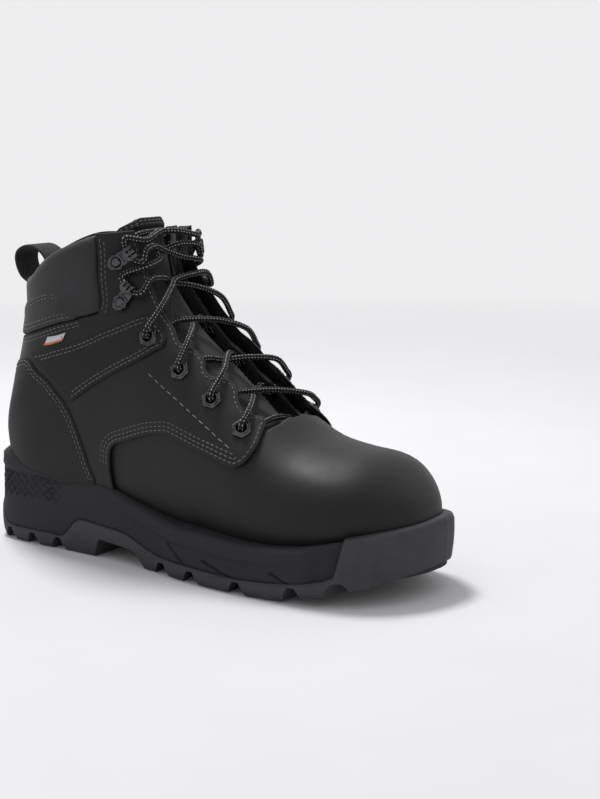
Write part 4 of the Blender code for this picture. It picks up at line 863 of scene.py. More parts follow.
BLACK = (0.0060, 0.0061, 0.0067)
COLLAR_GREY = (0.021, 0.0215, 0.0225)
MATERIALS = {
    "black_leather": leather_material("black_leather_grain", BLACK),
    "overlay_leather": leather_material("overlay_leather_grain", shade(BLACK, 1.1), 0.66, 0.6, 800),
    "grey_leather": leather_material("collar_leather_grain", COLLAR_GREY, 0.62, 0.35, 1300, 0.06),
    "dark_fabric": woven_material("lining_weave", (0.013, 0.013, 0.014), 1.4),
    "tongue_cloth": woven_material("tongue_weave", (0.014, 0.014, 0.015), 0.9, 0.85, 0.12),
    "footbed_foam": woven_material("footbed_weave", (0.02, 0.021, 0.024), 1.6, 0.9, 0.2),
    "webbing": woven_material("webbing_weave", (0.009, 0.009, 0.0095), 1.3, 0.8, 0.22, 2.0),
    "foam": foam_material("foam_cells", (0.4, 0.4, 0.38)),
    "grey_rubber": rubber_material("outsole_rubber", (0.034, 0.0342, 0.038)),
    "dark_midsole": rubber_material("midsole_foam", (0.0125, 0.0128, 0.015), 0.72, 420),
    "gunmetal": metal_material("gunmetal_plate", (0.07, 0.07, 0.075), 0.20),
    "steel": metal_material("pressed_steel", (0.5, 0.5, 0.52), 0.35, (1, 12, 1)),
    "fibre_board": board_material("fibre_board_raw", (0.36, 0.27, 0.17)),
    "stiff_plastic": foam_material("stiff_sheet", (0.45, 0.45, 0.43), 0.6),
    "aglet_plastic": rubber_material("aglet_film", (0.02, 0.02, 0.02), 0.3),
    "label_cloth": label_material(),
    "label_edge": woven_material("label_hem_weave", (0.42, 0.13, 0.03), 0.5, 0.8, 0.08),
    "lace_cord": lace_material(),
    "thread": thread_material("seam_thread", (0.05, 0.051, 0.054)),
    "bright_thread": thread_material("topstitch_thread", (0.11, 0.11, 0.115)),
}

# ---------------------------------------------------------------- the pattern
FACING = side_line((59, 92), (55.7, 95.2), (49.5, 97), (44.3, 101.1), (41.0, 105), (39.1, 108.1), (34.4, 113),
                   (28.3, 115.6), (23.1, 117.6), (19.8, 120.8), (17.8, 124.5), (12.4, 129.2), (5.9, 132.4),
                   (1.6, 134.6), (-1.2, 137.9), (-5.5, 143.3), (-11.9, 149.6), (-18.7, 158.4), (-25.8, 169.7),
                   (-29.8, 179.8), (-33, 190), (-34.8, 198.6))
QUARTER_FRONT_FOOT = side_line((-46, 44), (-45, 60), (-41, 72), (-27, 77.5), (-11, 82.5), (3, 84.5))
QUARTER_WING = side_line((3, 84.5), (25, 78), (47, 72), (53, 70.5))
QUARTER_NOSE = side_line((53, 70.5), (59, 74), (62, 82), (59, 92))
COLLAR_FRONT = side_line((-53, 197), (-53, 175), (-52, 158), (-53, 149.5))
BAND_LINE = side_line((-53, 149.5), (-67, 146), (-82, 142), (-100, 136), (-120, 131)) + [(13.12, 0.25)]
COLLAR_TOP_LINE = [(14.62, 0.0), (14.62, 0.45)]
COLLAR_TOP_LINE += side_line((-107, 171.5), (-95, 179.5), (-79, 187.5), (-53, 197))
ACHILLES_EDGE = [(13.85, 0.0), (13.8, 0.4)] + side_line((-113, 152), (-97, 159), (-84, 163))
ACHILLES_FRONT = side_line((-84, 163), (-77, 159), (-73, 153), (-68, 148.8))
COUNTER_EDGE = [(12.6, 0.0), (12.55, 0.35)]
COUNTER_EDGE += side_line((-111, 119), (-95, 110), (-83, 101), (-73, 90), (-66, 74), (-62, 58), (-61, 46))
STRAP_TOP = side_line((-105, 122.5), (-82, 128), (-53, 137.6), (-39, 143), (-20, 149.5))
STRAP_FRONT = side_line((-20, 149.5), (-15.5, 146.5), (-6.5, 138), (-6, 131.5))
STRAP_BOTTOM = side_line((-6, 131.5), (-21, 123.5), (-51, 108.5), (-71.5, 96))
STRAP_BACK = side_line((-71.5, 96), (-82, 105.5), (-95, 114.5), (-105, 122.5))
LABEL_CORNERS = side_line((-92, 128.5), (-89, 134), (-75, 137.5), (-77.5, 132.5))
EYELET_PLACES = side_line((-16, 137), (7, 120), (29.5, 105), (50.5, 90))
HOOK_PLACES = side_line((-43, 180.5), (-38, 156))
TOPSTITCH = side_line((-13, 118), (2, 108.5), (20.5, 97.3), (39, 86), (52, 78.5))
HEEL_FOOT = [(9.4, FEATHER), (10.0, 0.45), (10.3, 0.25)]
TONGUE_STATIONS, TONGUE_HALF_ANGLE = (3.35, 14.9), 0.9
PATCH_STATION, PATCH_MARGIN = 13.95, 0.06
ACHILLES_OUT = QUARTER_OUT + 0.9 * MM
STRAP_OUT = QUARTER_OUT + 1.4 * MM
HEM_SHARE = 0.24                    # of the label's height
FASTENER_HOLE, RIVET_HOLE = 3.9 * MM, 2.0 * MM
FILL = 0.7 * MM                     # the looks close the CAD's gap under each layer


def shifted(run, stations=0.0, angle=0.0):
    return [(s + stations, a + angle) for s, a in run]


def foot_line(front, back):
    steps = max(2, round(abs(back - front)))
    return [(front + (back - front) * i / steps, FEATHER) for i in range(steps + 1)]


def fastener_holes(side, eyelets=EYELET_PLACES, hooks=HOOK_PLACES):
    holes = [((s, side * a), FASTENER_HOLE) for s, a in eyelets]
    return holes + [((s, side * a), RIVET_HOLE) for s, a in hooks]


def leather_relief(seed, big=0.22, small=0.06):
    def relief(spots):
        points = last_points(spots[:, 0], spots[:, 1])
        return (waves(points, 0.028, seed) * big + waves(points, 0.008, seed + 5) * small) * MM
    return relief


# ---------------------------------------------------------------- toe and quarters
def make_vamp():
    back_edge = [(3.6, PI), (3.62, 2.95)]
    back_edge += side_line((61, 90), (58, 83.5), (49, 80.5), (40, 83), (22, 90), (2, 96), (-14, 94),
                           (-34, 87), (-52, 72), (-57, 46))
    half = [back_edge, foot_line(7.9, 1.2) + [(0.75, 0.3), (0.62, 0.0)]]
    panel = Panel(TOE_CHART, mirrored_runs(half), VAMP_OUT, profile=PLAIN_PROFILE, spacing=2.4,
                  relief=leather_relief(3, 0.3, 0.05))
    finish_piece(panel.solid("vamp_leather", LEATHER + FILL), "black_leather",
                 nodes=("vamp",))


def make_quarters():
    groups = {}
    for label, side in SIDES.items():
        back_seam = [(13.05, 0.035), (12, 0.035), (11.4, 0.035), (10.85, 0.035)]
        bottom = list(reversed(HEEL_FOOT)) + foot_line(9.0, 8.2)
        top_front = [FACING[-1], COLLAR_FRONT[0]]
        runs = [QUARTER_FRONT_FOOT[:-1], QUARTER_WING, QUARTER_NOSE[:-1], FACING, top_front[:-1],
                COLLAR_FRONT[:-1], BAND_LINE, back_seam, bottom]
        panel = Panel(HEEL_CHART, on_side(side, runs), QUARTER_OUT, fastener_holes(side), spacing=1.9,
                      relief=leather_relief(11 + side))
        finish_piece(panel.solid(f"quarter_leather_{label}", LEATHER + FILL), "black_leather",
                     nodes=(f"quarter_{label}",))
        mirror = on_side(side, [QUARTER_FRONT_FOOT, QUARTER_NOSE, FACING, BAND_LINE, COLLAR_FRONT, TOPSTITCH])
        foot, nose, facing, band, front, top = mirror
        lift = -0.1 * MM
        lines = panel.rows(foot[1], nose[1], (2.3, 4.6, 7.0), lift)
        lines += panel.rows(nose[1], facing[-1], (2.3,), lift)
        lines += panel.rows(front[0], front[-1], TWO_ROWS, lift)
        lines += panel.rows(band[1], band[4], TWO_ROWS, lift)
        groups[label] = (panel, lines, panel.drawn(top, 0.0))
    return groups


def make_overlays(groups):
    for label, side in SIDES.items():
        runs = on_side(side, [STRAP_TOP[:-1], STRAP_FRONT[:-1], STRAP_BOTTOM[:-1], STRAP_BACK[:-1]])
        panel = Panel(HEEL_CHART, runs, STRAP_OUT, fastener_holes(side, EYELET_PLACES[:1], ()), spacing=1.7,
                      relief=leather_relief(21 + side, 0.12, 0.04))
        finish_piece(panel.solid(f"strap_leather_{label}", OVERLAY_LEATHER + FILL), "overlay_leather",
                     nodes=(f"ankle_strap_{label}",))
        top, low, ends = on_side(side, [STRAP_TOP, STRAP_BOTTOM, STRAP_FRONT])
        lines = panel.rows(top[0], top[-1], TWO_ROWS) + panel.rows(low[0], low[-1], TWO_ROWS)
        lines += panel.rows(ends[0], ends[-1], (2.2,))
        groups[label][1].extend(lines)
    bottom = list(reversed(foot_line(9.0, 8.6))) + HEEL_FOOT + [(10.4, 0.0)]
    counter = Panel(HEEL_CHART, mirrored_runs([COUNTER_EDGE, bottom]), ACHILLES_OUT, spacing=1.9,
                    relief=leather_relief(31, 0.2, 0.05))
    finish_piece(counter.solid("counter_leather", OVERLAY_LEATHER + FILL), "overlay_leather",
                 nodes=("heel_counter",))
    lines = []
    for side in SIDES.values():
        edge, = on_side(side, [COUNTER_EDGE])
        lines += counter.rows(edge[0], edge[-1], (2.2, 4.6))
    lower = shifted(list(BAND_LINE[1:]), stations=0.04) + [(13.16, 0.0)]
    runs = mirrored_runs([ACHILLES_EDGE[:-1], ACHILLES_FRONT[:-1], lower])
    achilles = Panel(HEEL_CHART, runs, ACHILLES_OUT, spacing=1.9, relief=leather_relief(41, 0.15, 0.05))
    finish_piece(achilles.solid("achilles_leather", OVERLAY_LEATHER + FILL), "grey_leather",
                 nodes=("achilles_panel",))
    for side in SIDES.values():
        edge, front = on_side(side, [ACHILLES_EDGE, ACHILLES_FRONT])
        lines += achilles.rows(edge[0], edge[-1], (2.2, 4.2)) + achilles.rows(front[0], front[-1], (2.2, 4.2))
        band, = on_side(side, [lower])
        lines += achilles.rows(band[0], band[-1], TWO_ROWS)
    for label in SIDES:
        stitches(f"stitching_{label}", groups[label][1])
        stitches(f"topstitching_{label}", [groups[label][2]], "bright_thread", radius=0.3 * MM,
                 length=3.6 * MM, gap=2.0 * MM)
    stitches("stitching_back", lines)
    make_label()


def make_label():
    """Plain woven label folded over its lower edge, stitched along its ends."""
    runs = [LABEL_CORNERS[0:2], LABEL_CORNERS[1:3], LABEL_CORNERS[2:4], LABEL_CORNERS[3:]]
    panel = Panel(HEEL_CHART, runs, QUARTER_OUT + 1.0 * MM, profile=PLAIN_PROFILE, spacing=1.2)
    finish_piece(panel.solid("woven_label", 1.2 * MM), "label_cloth",
                 nodes=("side_label",))
    low_left, high_left, high_right, low_right = (np.array(c) for c in LABEL_CORNERS)
    hem = [low_left, low_left + (high_left - low_left) * HEM_SHARE,
           low_right + (high_right - low_right) * HEM_SHARE, low_right]
    hem = [tuple(c) for c in hem]
    strip = Panel(HEEL_CHART, [hem[0:2], hem[1:3], hem[2:4], hem[3:]], QUARTER_OUT + 1.2 * MM,
                  profile=FLAT_PROFILE, spacing=1.0)
    finish_piece(strip.solid("label_hem", 0.6 * MM), "label_edge")
    lines = panel.rows(LABEL_CORNERS[0], LABEL_CORNERS[1], (1.1,)) + panel.rows(LABEL_CORNERS[2],
                                                                                LABEL_CORNERS[3], (1.1,))
    stitches("label_stitching", lines, radius=0.2 * MM, length=1.6 * MM, gap=0.6 * MM)


def make_lining():
    front = [(3.32, FEATHER + 0.1), (3.4, 1.2), (3.5, 2.0), (3.75, FACING[0][1] - 0.04)]
    facing = shifted(FACING, angle=-0.04)
    collar = list(reversed([(14.62, 0.0), (14.62, 0.45)] + COLLAR_TOP_LINE[2:]))
    half = [foot_line(9.4, 3.32)[:-1], front[:-1], facing, collar]
    half = [list(reversed(run)) for run in reversed(half)]
    half.append([(9.4, FEATHER), (9.9, 0.42), (10.1, 0.25), (10.15, 0.0)])
    holes = fastener_holes(LATERAL) + fastener_holes(MEDIAL)
    panel = Panel(HEEL_CHART, mirrored_runs(half), LINING_OUT, holes, FLAT_PROFILE, 2.4)
    finish_piece(panel.solid("lining_cloth", 1.5 * MM), "dark_fabric",
                 nodes=("quarter_lining",))


# ---------------------------------------------------------------- padded pieces
CLOTH_SETTINGS = {"use_pressure": True, "quality": 5, "mass": 0.3, "tension_stiffness": 15,
                  "compression_stiffness": 15, "bending_stiffness": 0.5}
CLOTH_FRAMES = 20


def puffed(pad, voxel, inward, outward, pressure=4.0):
    """Swell a closed pad with a cloth simulation, its points moved no further than the caps."""
    modify(pad, "REMESH", mode="VOXEL", voxel_size=voxel)
    modify(pad, "SMOOTH", factor=0.5, iterations=5)
    bake_modifiers(pad)
    before = np.array([v.co for v in pad.data.vertices])
    normals = np.array([v.normal for v in pad.data.vertices])
    cloth = modify(pad, "CLOTH")
    for key, value in CLOTH_SETTINGS.items():
        setattr(cloth.settings, key, value)
    cloth.settings.uniform_pressure_force = pressure
    cloth.settings.effector_weights.gravity = 0
    cloth.point_cache.frame_start = 1
    cloth.point_cache.frame_end = CLOTH_FRAMES
    scene = bpy.context.scene
    for number in range(1, CLOTH_FRAMES + 1):
        scene.frame_set(number)
    mesh = evaluated(pad)
    after = np.array([v.co for v in mesh.vertices])
    bpy.data.meshes.remove(mesh)
    pad.modifiers.remove(cloth)
    scene.frame_set(1)
    move = after - before
    along = (move * normals).sum(1)
    sideways = move - along[:, None] * normals
    move = np.clip(along, -inward, outward)[:, None] * normals + sideways * 0.5
    length = np.linalg.norm(move, axis=1, keepdims=True)
    move *= np.minimum(1, outward / np.maximum(length, 1e-9))
    pad.data.vertices.foreach_set("co", (before + move).ravel())
    pad.data.update()
    return pad


def finer(thing):
    modify(thing, "SUBSURF", levels=1, render_levels=1)
    bake_modifiers(thing)


def make_collar():
    """Padded collar: one crowned roll of leather over foam, in place of the CAD's foam and cover."""
    front = shifted(COLLAR_FRONT[:-1], angle=0.02)
    lower = shifted(BAND_LINE, stations=-0.05) + [(13.07, 0.0)]
    lower[0] = (lower[0][0], lower[0][1] + 0.02)
    runs = mirrored_runs([COLLAR_TOP_LINE[:-1], front, lower])
    panel = Panel(HEEL_CHART, runs, QUARTER_OUT - 0.2 * MM, profile=PUFF_PROFILE, spacing=2.2)
    pad = panel.pad("collar_pad", STIFF_IN - 0.6 * MM, ((0.0, -3.0), (1.0, -1.5), (2.5, -0.5), (5.0, 0.0)))
    puffed(pad, 2.4 * MM, 0.3 * MM, 1.4 * MM)
    finer(pad)
    finish_piece(pad, "grey_leather", nodes=("collar_cover", "collar_foam"), degrees=180)


def make_tongue():
    low, high = TONGUE_STATIONS
    edge = [(low, PI - 0.7), (5, PI - 0.78), (8, PI - 0.85), (11, PI - TONGUE_HALF_ANGLE),
            (14.5, PI - TONGUE_HALF_ANGLE)]
    top = [(14.5, PI - TONGUE_HALF_ANGLE), (14.62, PI - 0.75), (14.68, PI - 0.4), (high, PI - 0.25),
           (high, PI)]
    half = [[(low, PI), (low, PI - 0.4)], edge[:-1], top]
    panel = Panel(RIDGE_CHART, mirrored_runs(half), TONGUE_OUT - 0.2 * MM, profile=PUFF_PROFILE, spacing=2.2)
    pad = panel.pad("tongue_pad", TONGUE_IN + 0.2 * MM, ((0.0, -1.6), (1.0, -0.8), (2.5, -0.3), (5.0, 0.0)))
    puffed(pad, 1.6 * MM, 0.3 * MM, 0.5 * MM)
    finish_piece(pad, "tongue_cloth", "tongue", ("tongue",), degrees=180)
    patch_edge = PI - TONGUE_HALF_ANGLE + PATCH_MARGIN
    patch_top = [(14.45, patch_edge)] + [(s - PATCH_MARGIN, a) for s, a in top[1:]]
    half = [[(PATCH_STATION, PI)], [(PATCH_STATION, patch_edge)], patch_top]
    patch = Panel(RIDGE_CHART, mirrored_runs(half), TONGUE_OUT + 1.2 * MM, profile=PLAIN_PROFILE, spacing=1.8)
    finish_piece(patch.solid("tongue_patch_leather", 1.6 * MM), "overlay_leather",
                 "tongue", ("tongue_patch",))
    lines = patch.rows((PATCH_STATION, patch_edge), (PATCH_STATION, -patch_edge), (1.8, 3.6), 0.0)
    lines += patch.rows((14.45, patch_edge), (14.45, -patch_edge), (1.8,), 0.0)
    for side in SIDES.values():
        rail = [(s, side * (PI - w)) for s, w in ((4.2, 0.42), (6, 0.5), (9, 0.56), (12, 0.58), (13.8, 0.58))]
        lines.append(panel.drawn(rail, 0.35 * MM))
    stitches("tongue_stitching", lines, body="tongue")


BOARD_DEPTH, INSOLE_BOARD, FOOTBED = -0.3 * MM, 2.2 * MM, 4.5 * MM
FOOTBED_ANGLE, FOOTBED_STATIONS = 0.35, (1.6, 9.75)


def make_footbed():
    """Moulded footbed with a crowned edge and a shallow cup."""
    rows, columns = 92, 30
    depth = BOARD_DEPTH - INSOLE_BOARD - LAYER_GAP
    front, back = FOOTBED_STATIONS
    share = np.linspace(0, 1, rows + 1)
    station = front + (back - front) * share
    fullness = slices(station)[:, 7]
    ends = np.minimum(share / 0.06, (1 - share) / 0.07)
    narrow = 0.5 + 0.5 * np.sqrt(np.clip(1 - (1 - np.clip(ends, 0, 1)) ** 2, 0, 1))
    widest = np.sin(FOOTBED_ANGLE) ** fullness * narrow
    across = np.linspace(-1, 1, columns + 1)
    reach = across[None] * widest[:, None]
    angle = np.copysign(np.arcsin(np.abs(reach) ** (1 / fullness[:, None])), reach)
    places = np.broadcast_to(station[:, None], angle.shape)
    low = on_last(places, angle, np.full(angle.shape, depth))
    edge = np.minimum(np.minimum(1 - np.abs(across), 1)[None] * 14, np.clip(ends, 0, 1)[:, None] * 6)
    round_off = 1 - np.sqrt(np.clip(1 - (1 - np.clip(edge, 0, 1)) ** 2, 0, 1))
    high = on_last(places, angle, depth - (FOOTBED - 0.25 * MM) * (1 - 0.55 * round_off))
    count = (rows + 1) * (columns + 1)
    points = np.vstack([low.reshape(-1, 3), high.reshape(-1, 3)])
    faces = []
    for r in range(rows):
        for c in range(columns):
            quad = cell(r, c, columns)
            faces += [quad, tuple(count + i for i in reversed(quad))]
    rim = list(range(columns + 1)) + [r * (columns + 1) + columns for r in range(1, rows + 1)]
    rim += [rows * (columns + 1) + c for c in range(columns - 1, -1, -1)]
    rim += [r * (columns + 1) for r in range(rows - 1, 0, -1)]
    for a, b in zip(rim, rim[1:] + rim[:1]):
        faces.append((a, b, b + count, a + count))
    pad = new_thing("footbed_pad", mesh_from("footbed_pad", points, faces))
    tidy_normals(pad)
    puffed(pad, 2.2 * MM, 0.3 * MM, 0.4 * MM, 2.0)
    finer(pad)
    finish_piece(pad, "footbed_foam", "footbed", ("footbed",), degrees=180)


# ---------------------------------------------------------------- sole
OUTER_OUTLINE = [(-155, 0), (-153.5, -17), (-144, -29.5), (-118, -35), (-67, -37), (-15, -43.5), (13, -50),
                 (48, -54.3), (89, -54.7), (112, -50.5), (131, -40), (146, -23), (153, -4), (155, 12)]
INNER_OUTLINE = [(-155, 0), (-153.5, 17), (-144, 29.5), (-118, 35), (-67, 36), (-20, 37), (15, 43),
                 (50, 52.0), (85, 55.0), (112, 52.9), (132, 45), (147, 33), (153.5, 22), (155, 12)]
RIM_LINE = [(-155, 57), (-100, 54), (-62, 49), (-30, 39), (0, 32), (25, 30.5), (60, 29), (90, 31), (122, 37),
            (155, 43)]
SPLIT_LINE = [(-155, 29), (-152, 26), (-147, 17), (-142, 9.5), (-120, 9), (-100, 9), (-89, 9.5), (-77, 20.5),
              (-60, 20.5), (-35, 18.5), (-15, 12), (-3, 9.8), (30, 9.3), (60, 9), (90, 11.5), (112, 15),
              (122, 20), (155, 28)]
TREAD_FLAT_END, TOE_SPRING = 62, 18
ARCH, ARCH_RISE = (-66, -16), 12.5
BUMPER_START, BUMPER_NECK, BUMPER_ABOVE_RIM, BUMPER_WALL = (117, 124), (100, 110), 1.5, 3.2 * MM
HALF_STEPS = 340


def line_height(points, x):
    """Heights in metres of a line of (x, z) points at many x."""
    table = np.array(points, float)
    where = np.interp(x, table[:, 0], np.arange(len(table)))
    return catmull(table[:, 1:], where)[..., 0] * MM


def tread_height(x):
    rise = np.clip((x - TREAD_FLAT_END) / (155 - TREAD_FLAT_END), 0, 1)
    return TOE_SPRING * rise ** 1.8 * MM


def ramp(x, start, end):
    t = np.clip((np.asarray(x, float) - start) / (end - start), 0, 1)
    return t * t * (3 - 2 * t)


def sole_outline():
    """Pattern points and inward directions round the sole: outer side to the toe, inner side back."""
    where = np.linspace(0, len(OUTER_OUTLINE) - 1, HALF_STEPS + 1)
    outer, inner = catmull(OUTER_OUTLINE, where), catmull(INNER_OUTLINE, where)
    loop = np.vstack([outer, inner[1:-1][::-1]])
    tangent = np.roll(loop, -1, 0) - np.roll(loop, 1, 0)
    inward = np.stack([-tangent[:, 1], tangent[:, 0]], -1)
    return loop, inward / np.linalg.norm(inward, axis=1, keepdims=True)


OUTLINE, INWARD = sole_outline()
OUTLINE_X = OUTLINE[:, 0]
TRAVEL = travelled_along(OUTLINE)


def sole_loop(inset, height):
    """Ring round the sole, moved inwards by metres, at heights in metres."""
    inset = np.broadcast_to(inset, OUTLINE_X.shape)
    plan = OUTLINE * MM + INWARD * inset[:, None]
    return np.column_stack([plan, np.broadcast_to(height, OUTLINE_X.shape)])


def loft(name, loops):
    """Closed mesh through rings, its ends closed straight across the sole."""
    count = len(loops[0])
    faces = ring_quads(0, len(loops), count)
    for base in (0, (len(loops) - 1) * count):
        for i in range(HALF_STEPS):
            corners = []
            for corner in (i, i + 1, (count - i - 1) % count, (count - i) % count):
                if base + corner not in corners:
                    corners.append(base + corner)
            faces.append(tuple(corners))
    thing = new_thing(name, mesh_from(name, np.vstack(loops), faces))
    tidy_normals(thing)
    return thing


def wedge(name, low, high):
    """Closed prism cutter from a list of lower corners and as many upper corners."""
    count = len(low)
    faces = [tuple(range(count))[::-1], tuple(range(count, 2 * count))] + ring_quads(0, 2, count)
    thing = new_thing(name, mesh_from(name, list(low) + list(high), faces), SCRATCH)
    tidy_normals(thing)
    return thing


def subtract(thing, cutters, solver="EXACT"):
    triangulate(thing)
    for cutter in cutters:
        modify(thing, "BOOLEAN", operation="DIFFERENCE", object=cutter, solver=solver)
    bake_modifiers(thing)
    for cutter in cutters:
        bpy.data.objects.remove(cutter, do_unlink=True)


# place along the sole, reach inwards and slant in degrees of each groove
LUG_GROOVES = [(-137, 30, 0), (-115, 28, 0), (-93, 28, 0), (-1, 27, 12), (23, 28, 12), (57, 32, 8),
               (94, 30, -6), (117, 20, -14)]
# height over the tread and half width of a groove, in millimetres
GROOVE_SHAPE = ((0, 7.4), (5.2, 4.4), (7.6, 2.4))
GROOVE_FOOT = (-5, 10.5)            # the same below the ground


def groove_cutters():
    """Wedge-shaped channels between the lugs, wider below and rounded off inwards."""
    cutters = []
    for index, (x, reach, slant) in enumerate(LUG_GROOVES):
        for side in (LATERAL, MEDIAL):
            lift = float(tread_height(x))
            turn = side * math.radians(slant)
            rings = []
            foot, foot_half = GROOVE_FOOT
            shape = [(foot * MM, foot_half * MM)]
            shape += [(lift + rise * MM, half * MM) for rise, half in GROOVE_SHAPE]
            for z, half in shape:
                ring = []
                corners = ((-reach * MM, -half * 0.75), (-reach * MM, half * 0.75), (40 * MM, half),
                           (40 * MM, -half))
                for along, across in corners:
                    px, py = across, -side * along
                    ring.append((x * MM + px * math.cos(turn) - py * math.sin(turn),
                                 -side * 55 * MM + px * math.sin(turn) + py * math.cos(turn), z))
                rings.append(ring)
            points = [p for ring in rings for p in ring]
            faces = [(3, 2, 1, 0), (12, 13, 14, 15)] + ring_quads(0, 4, 4)
            cutter = new_thing(f"groove_{index}_{side}", mesh_from("groove", points, faces), SCRATCH)
            tidy_normals(cutter)
            cutters.append(cutter)
    return cutters


def arch_cutter():
    """The arch's gap: sloped ends and a ribbed ceiling."""
    low, high = ARCH
    section = [(low + 1, -5), (low + 4, 3), (low + 8.5, ARCH_RISE - 0.5)]
    steps = 22
    for i in range(steps + 1):
        x = low + 10 + (high - 14 - low - 10) * i / steps
        section.append((x, ARCH_RISE - (0.9 if i % 2 else 0.0) - 1.5 * i / steps))
    section += [(high - 8, 8.2), (high - 4.5, 3), (high - 0.5, -5)]
    near = [(x * MM, -70 * MM, z * MM) for x, z in section]
    far = [(x * MM, 70 * MM, z * MM) for x, z in section]
    return wedge("arch_gap", near, far)


def middle_channel():
    """A winding channel down the middle of the tread's forefoot and heel."""
    cutters = []
    for start, end, y in ((-140, -74, 0), (-8, 118, 2)):
        lefts, rights = [], []
        for i in range(25):
            x = start + (end - start) * i / 24
            sway = y + 4 * math.sin(i * 1.1)
            lift = float(tread_height(x)) + 3.2 * MM
            lefts.append((x * MM, (sway - 2.2) * MM, lift))
            rights.append((x * MM, (sway + 2.2) * MM, lift))
        top = lefts + rights[::-1]
        low = [(p[0], p[1] + (0.8 * MM if i >= 25 else -0.8 * MM), -6 * MM) for i, p in enumerate(top)]
        cutters.append(wedge(f"channel_{start}", low, top))
    return cutters


def make_outsole():
    """Rubber outsole: lugs, arch, a rising lip round the midsole and the toe bumper."""
    x = OUTLINE_X
    split, rim, tread = line_height(SPLIT_LINE, x), line_height(RIM_LINE, x), tread_height(x)
    bumper = ramp(x, *BUMPER_START)
    top = split + (rim + BUMPER_ABOVE_RIM * MM - split) * bumper
    floor = np.minimum(split, 16.5 * MM) - 2.0 * MM
    wall = top - tread
    thick = 0.6 * MM + BUMPER_WALL + 6.0 * MM * bumper
    loops = [sole_loop(3.6 * MM, tread), sole_loop(2.0 * MM, tread + 0.5 * MM),
             sole_loop(1.5 * MM, tread + 2.0 * MM), sole_loop(0.7 * MM, tread + 0.3 * wall),
             sole_loop(0.25 * MM, tread + 0.5 * wall), sole_loop(0.15 * MM, tread + 0.7 * wall),
             sole_loop(0.3 * MM, tread + 0.88 * wall),
             sole_loop(0.7 * MM + 0.4 * MM * bumper, top - 1.2 * MM),
             sole_loop(1.1 * MM + 0.9 * MM * bumper, top - 0.3 * MM),
             sole_loop(1.6 * MM + 1.6 * MM * bumper, top),
             sole_loop(thick, top + 0.3 * MM * bumper),
             sole_loop(thick + 0.2 * MM, np.minimum(top - 0.5 * MM, floor + 0.5 * MM)),
             sole_loop(thick + 1.0 * MM, floor)]
    sole = loft("tread_rubber", loops)
    subtract(sole, [arch_cutter()] + groove_cutters() + middle_channel())
    subtract(sole, [upper_room()], "MANIFOLD")
    finish_piece(sole, "grey_rubber", nodes=("outsole",), degrees=32)


def diamonds(travel, height):
    """Raised diamonds, 1 on each and 0 between."""
    u, v = travel / 7.0, height / 6.0
    a, b = (u + v) % 1.0, (u - v) % 1.0
    ridge = np.minimum(np.minimum(a, 1 - a), np.minimum(b, 1 - b))
    return np.clip((ridge - 0.10) / 0.10, 0, 1)


def slash(x, z, start, end, half=1.1):
    """1 along a short slanted cut, falling to 0 at its sides."""
    ax, az = start
    bx, bz = end
    t = ((x - ax) * (bx - ax) + (z - az) * (bz - az)) / ((bx - ax) ** 2 + (bz - az) ** 2)
    away = np.hypot(x - ax - (bx - ax) * np.clip(t, 0, 1), z - az - (bz - az) * np.clip(t, 0, 1))
    return np.clip(1 - away / half, 0, 1)


def make_midsole():
    """Midsole: a cup with a sculpted wall, pressed diamonds at the heel and slanted cuts by the forefoot."""
    x = OUTLINE_X
    split, rim = line_height(SPLIT_LINE, x), line_height(RIM_LINE, x)
    floor = np.minimum(split, 16.5 * MM) - 1.7 * MM
    neck = ramp(x, *BUMPER_NECK)
    in_lip = 0.9 * MM + BUMPER_WALL
    loops = [sole_loop(in_lip, floor), sole_loop(in_lip, np.maximum(split - 0.5 * MM, floor + 0.2 * MM))]
    levels = 30
    for level in range(levels + 1):
        share = level / levels
        z = split - 0.3 * MM + (rim - split + 0.3 * MM) * share
        up, under = (z - split) / MM, (rim - z) / MM
        inset = 1.3 + 1.0 * share
        inset = inset - 0.9 * ramp(up, 0.0, 1.6) + 0.9 * (1 - ramp(under, 0.0, 1.5))
        band = ramp(under, 9.0, 10.2)
        inset = inset + 1.0 * band * (1 - ramp(x, 70, 100)) + 0.8 * ramp(share, 0.5, 1.0)
        inset = inset + 1.6 * ramp(-under, -2.6, 0.0)
        zone = ramp(z / MM, 28, 31) * (1 - ramp(z / MM, 43, 46)) * ramp(-x, 84, 98)
        inset = inset - 1.3 * diamonds(TRAVEL, z / MM) * zone + 1.3 * zone
        cut = np.maximum(slash(x, z / MM, (1, 20), (19, 8)), slash(x, z / MM, (31, 15), (54, 8)))
        cut = np.maximum(cut, slash(x, z / MM, (80, 16), (95, 10)))
        inset = inset + 2.2 * cut
        inset = np.maximum(inset, 0.12) * MM
        inset = inset + (in_lip - inset) * neck
        loops.append(sole_loop(inset, z))
    cup = loft("midsole_wall", loops)
    subtract(cup, [upper_room()], "MANIFOLD")
    finish_piece(cup, "dark_midsole", nodes=("midsole",), degrees=50)


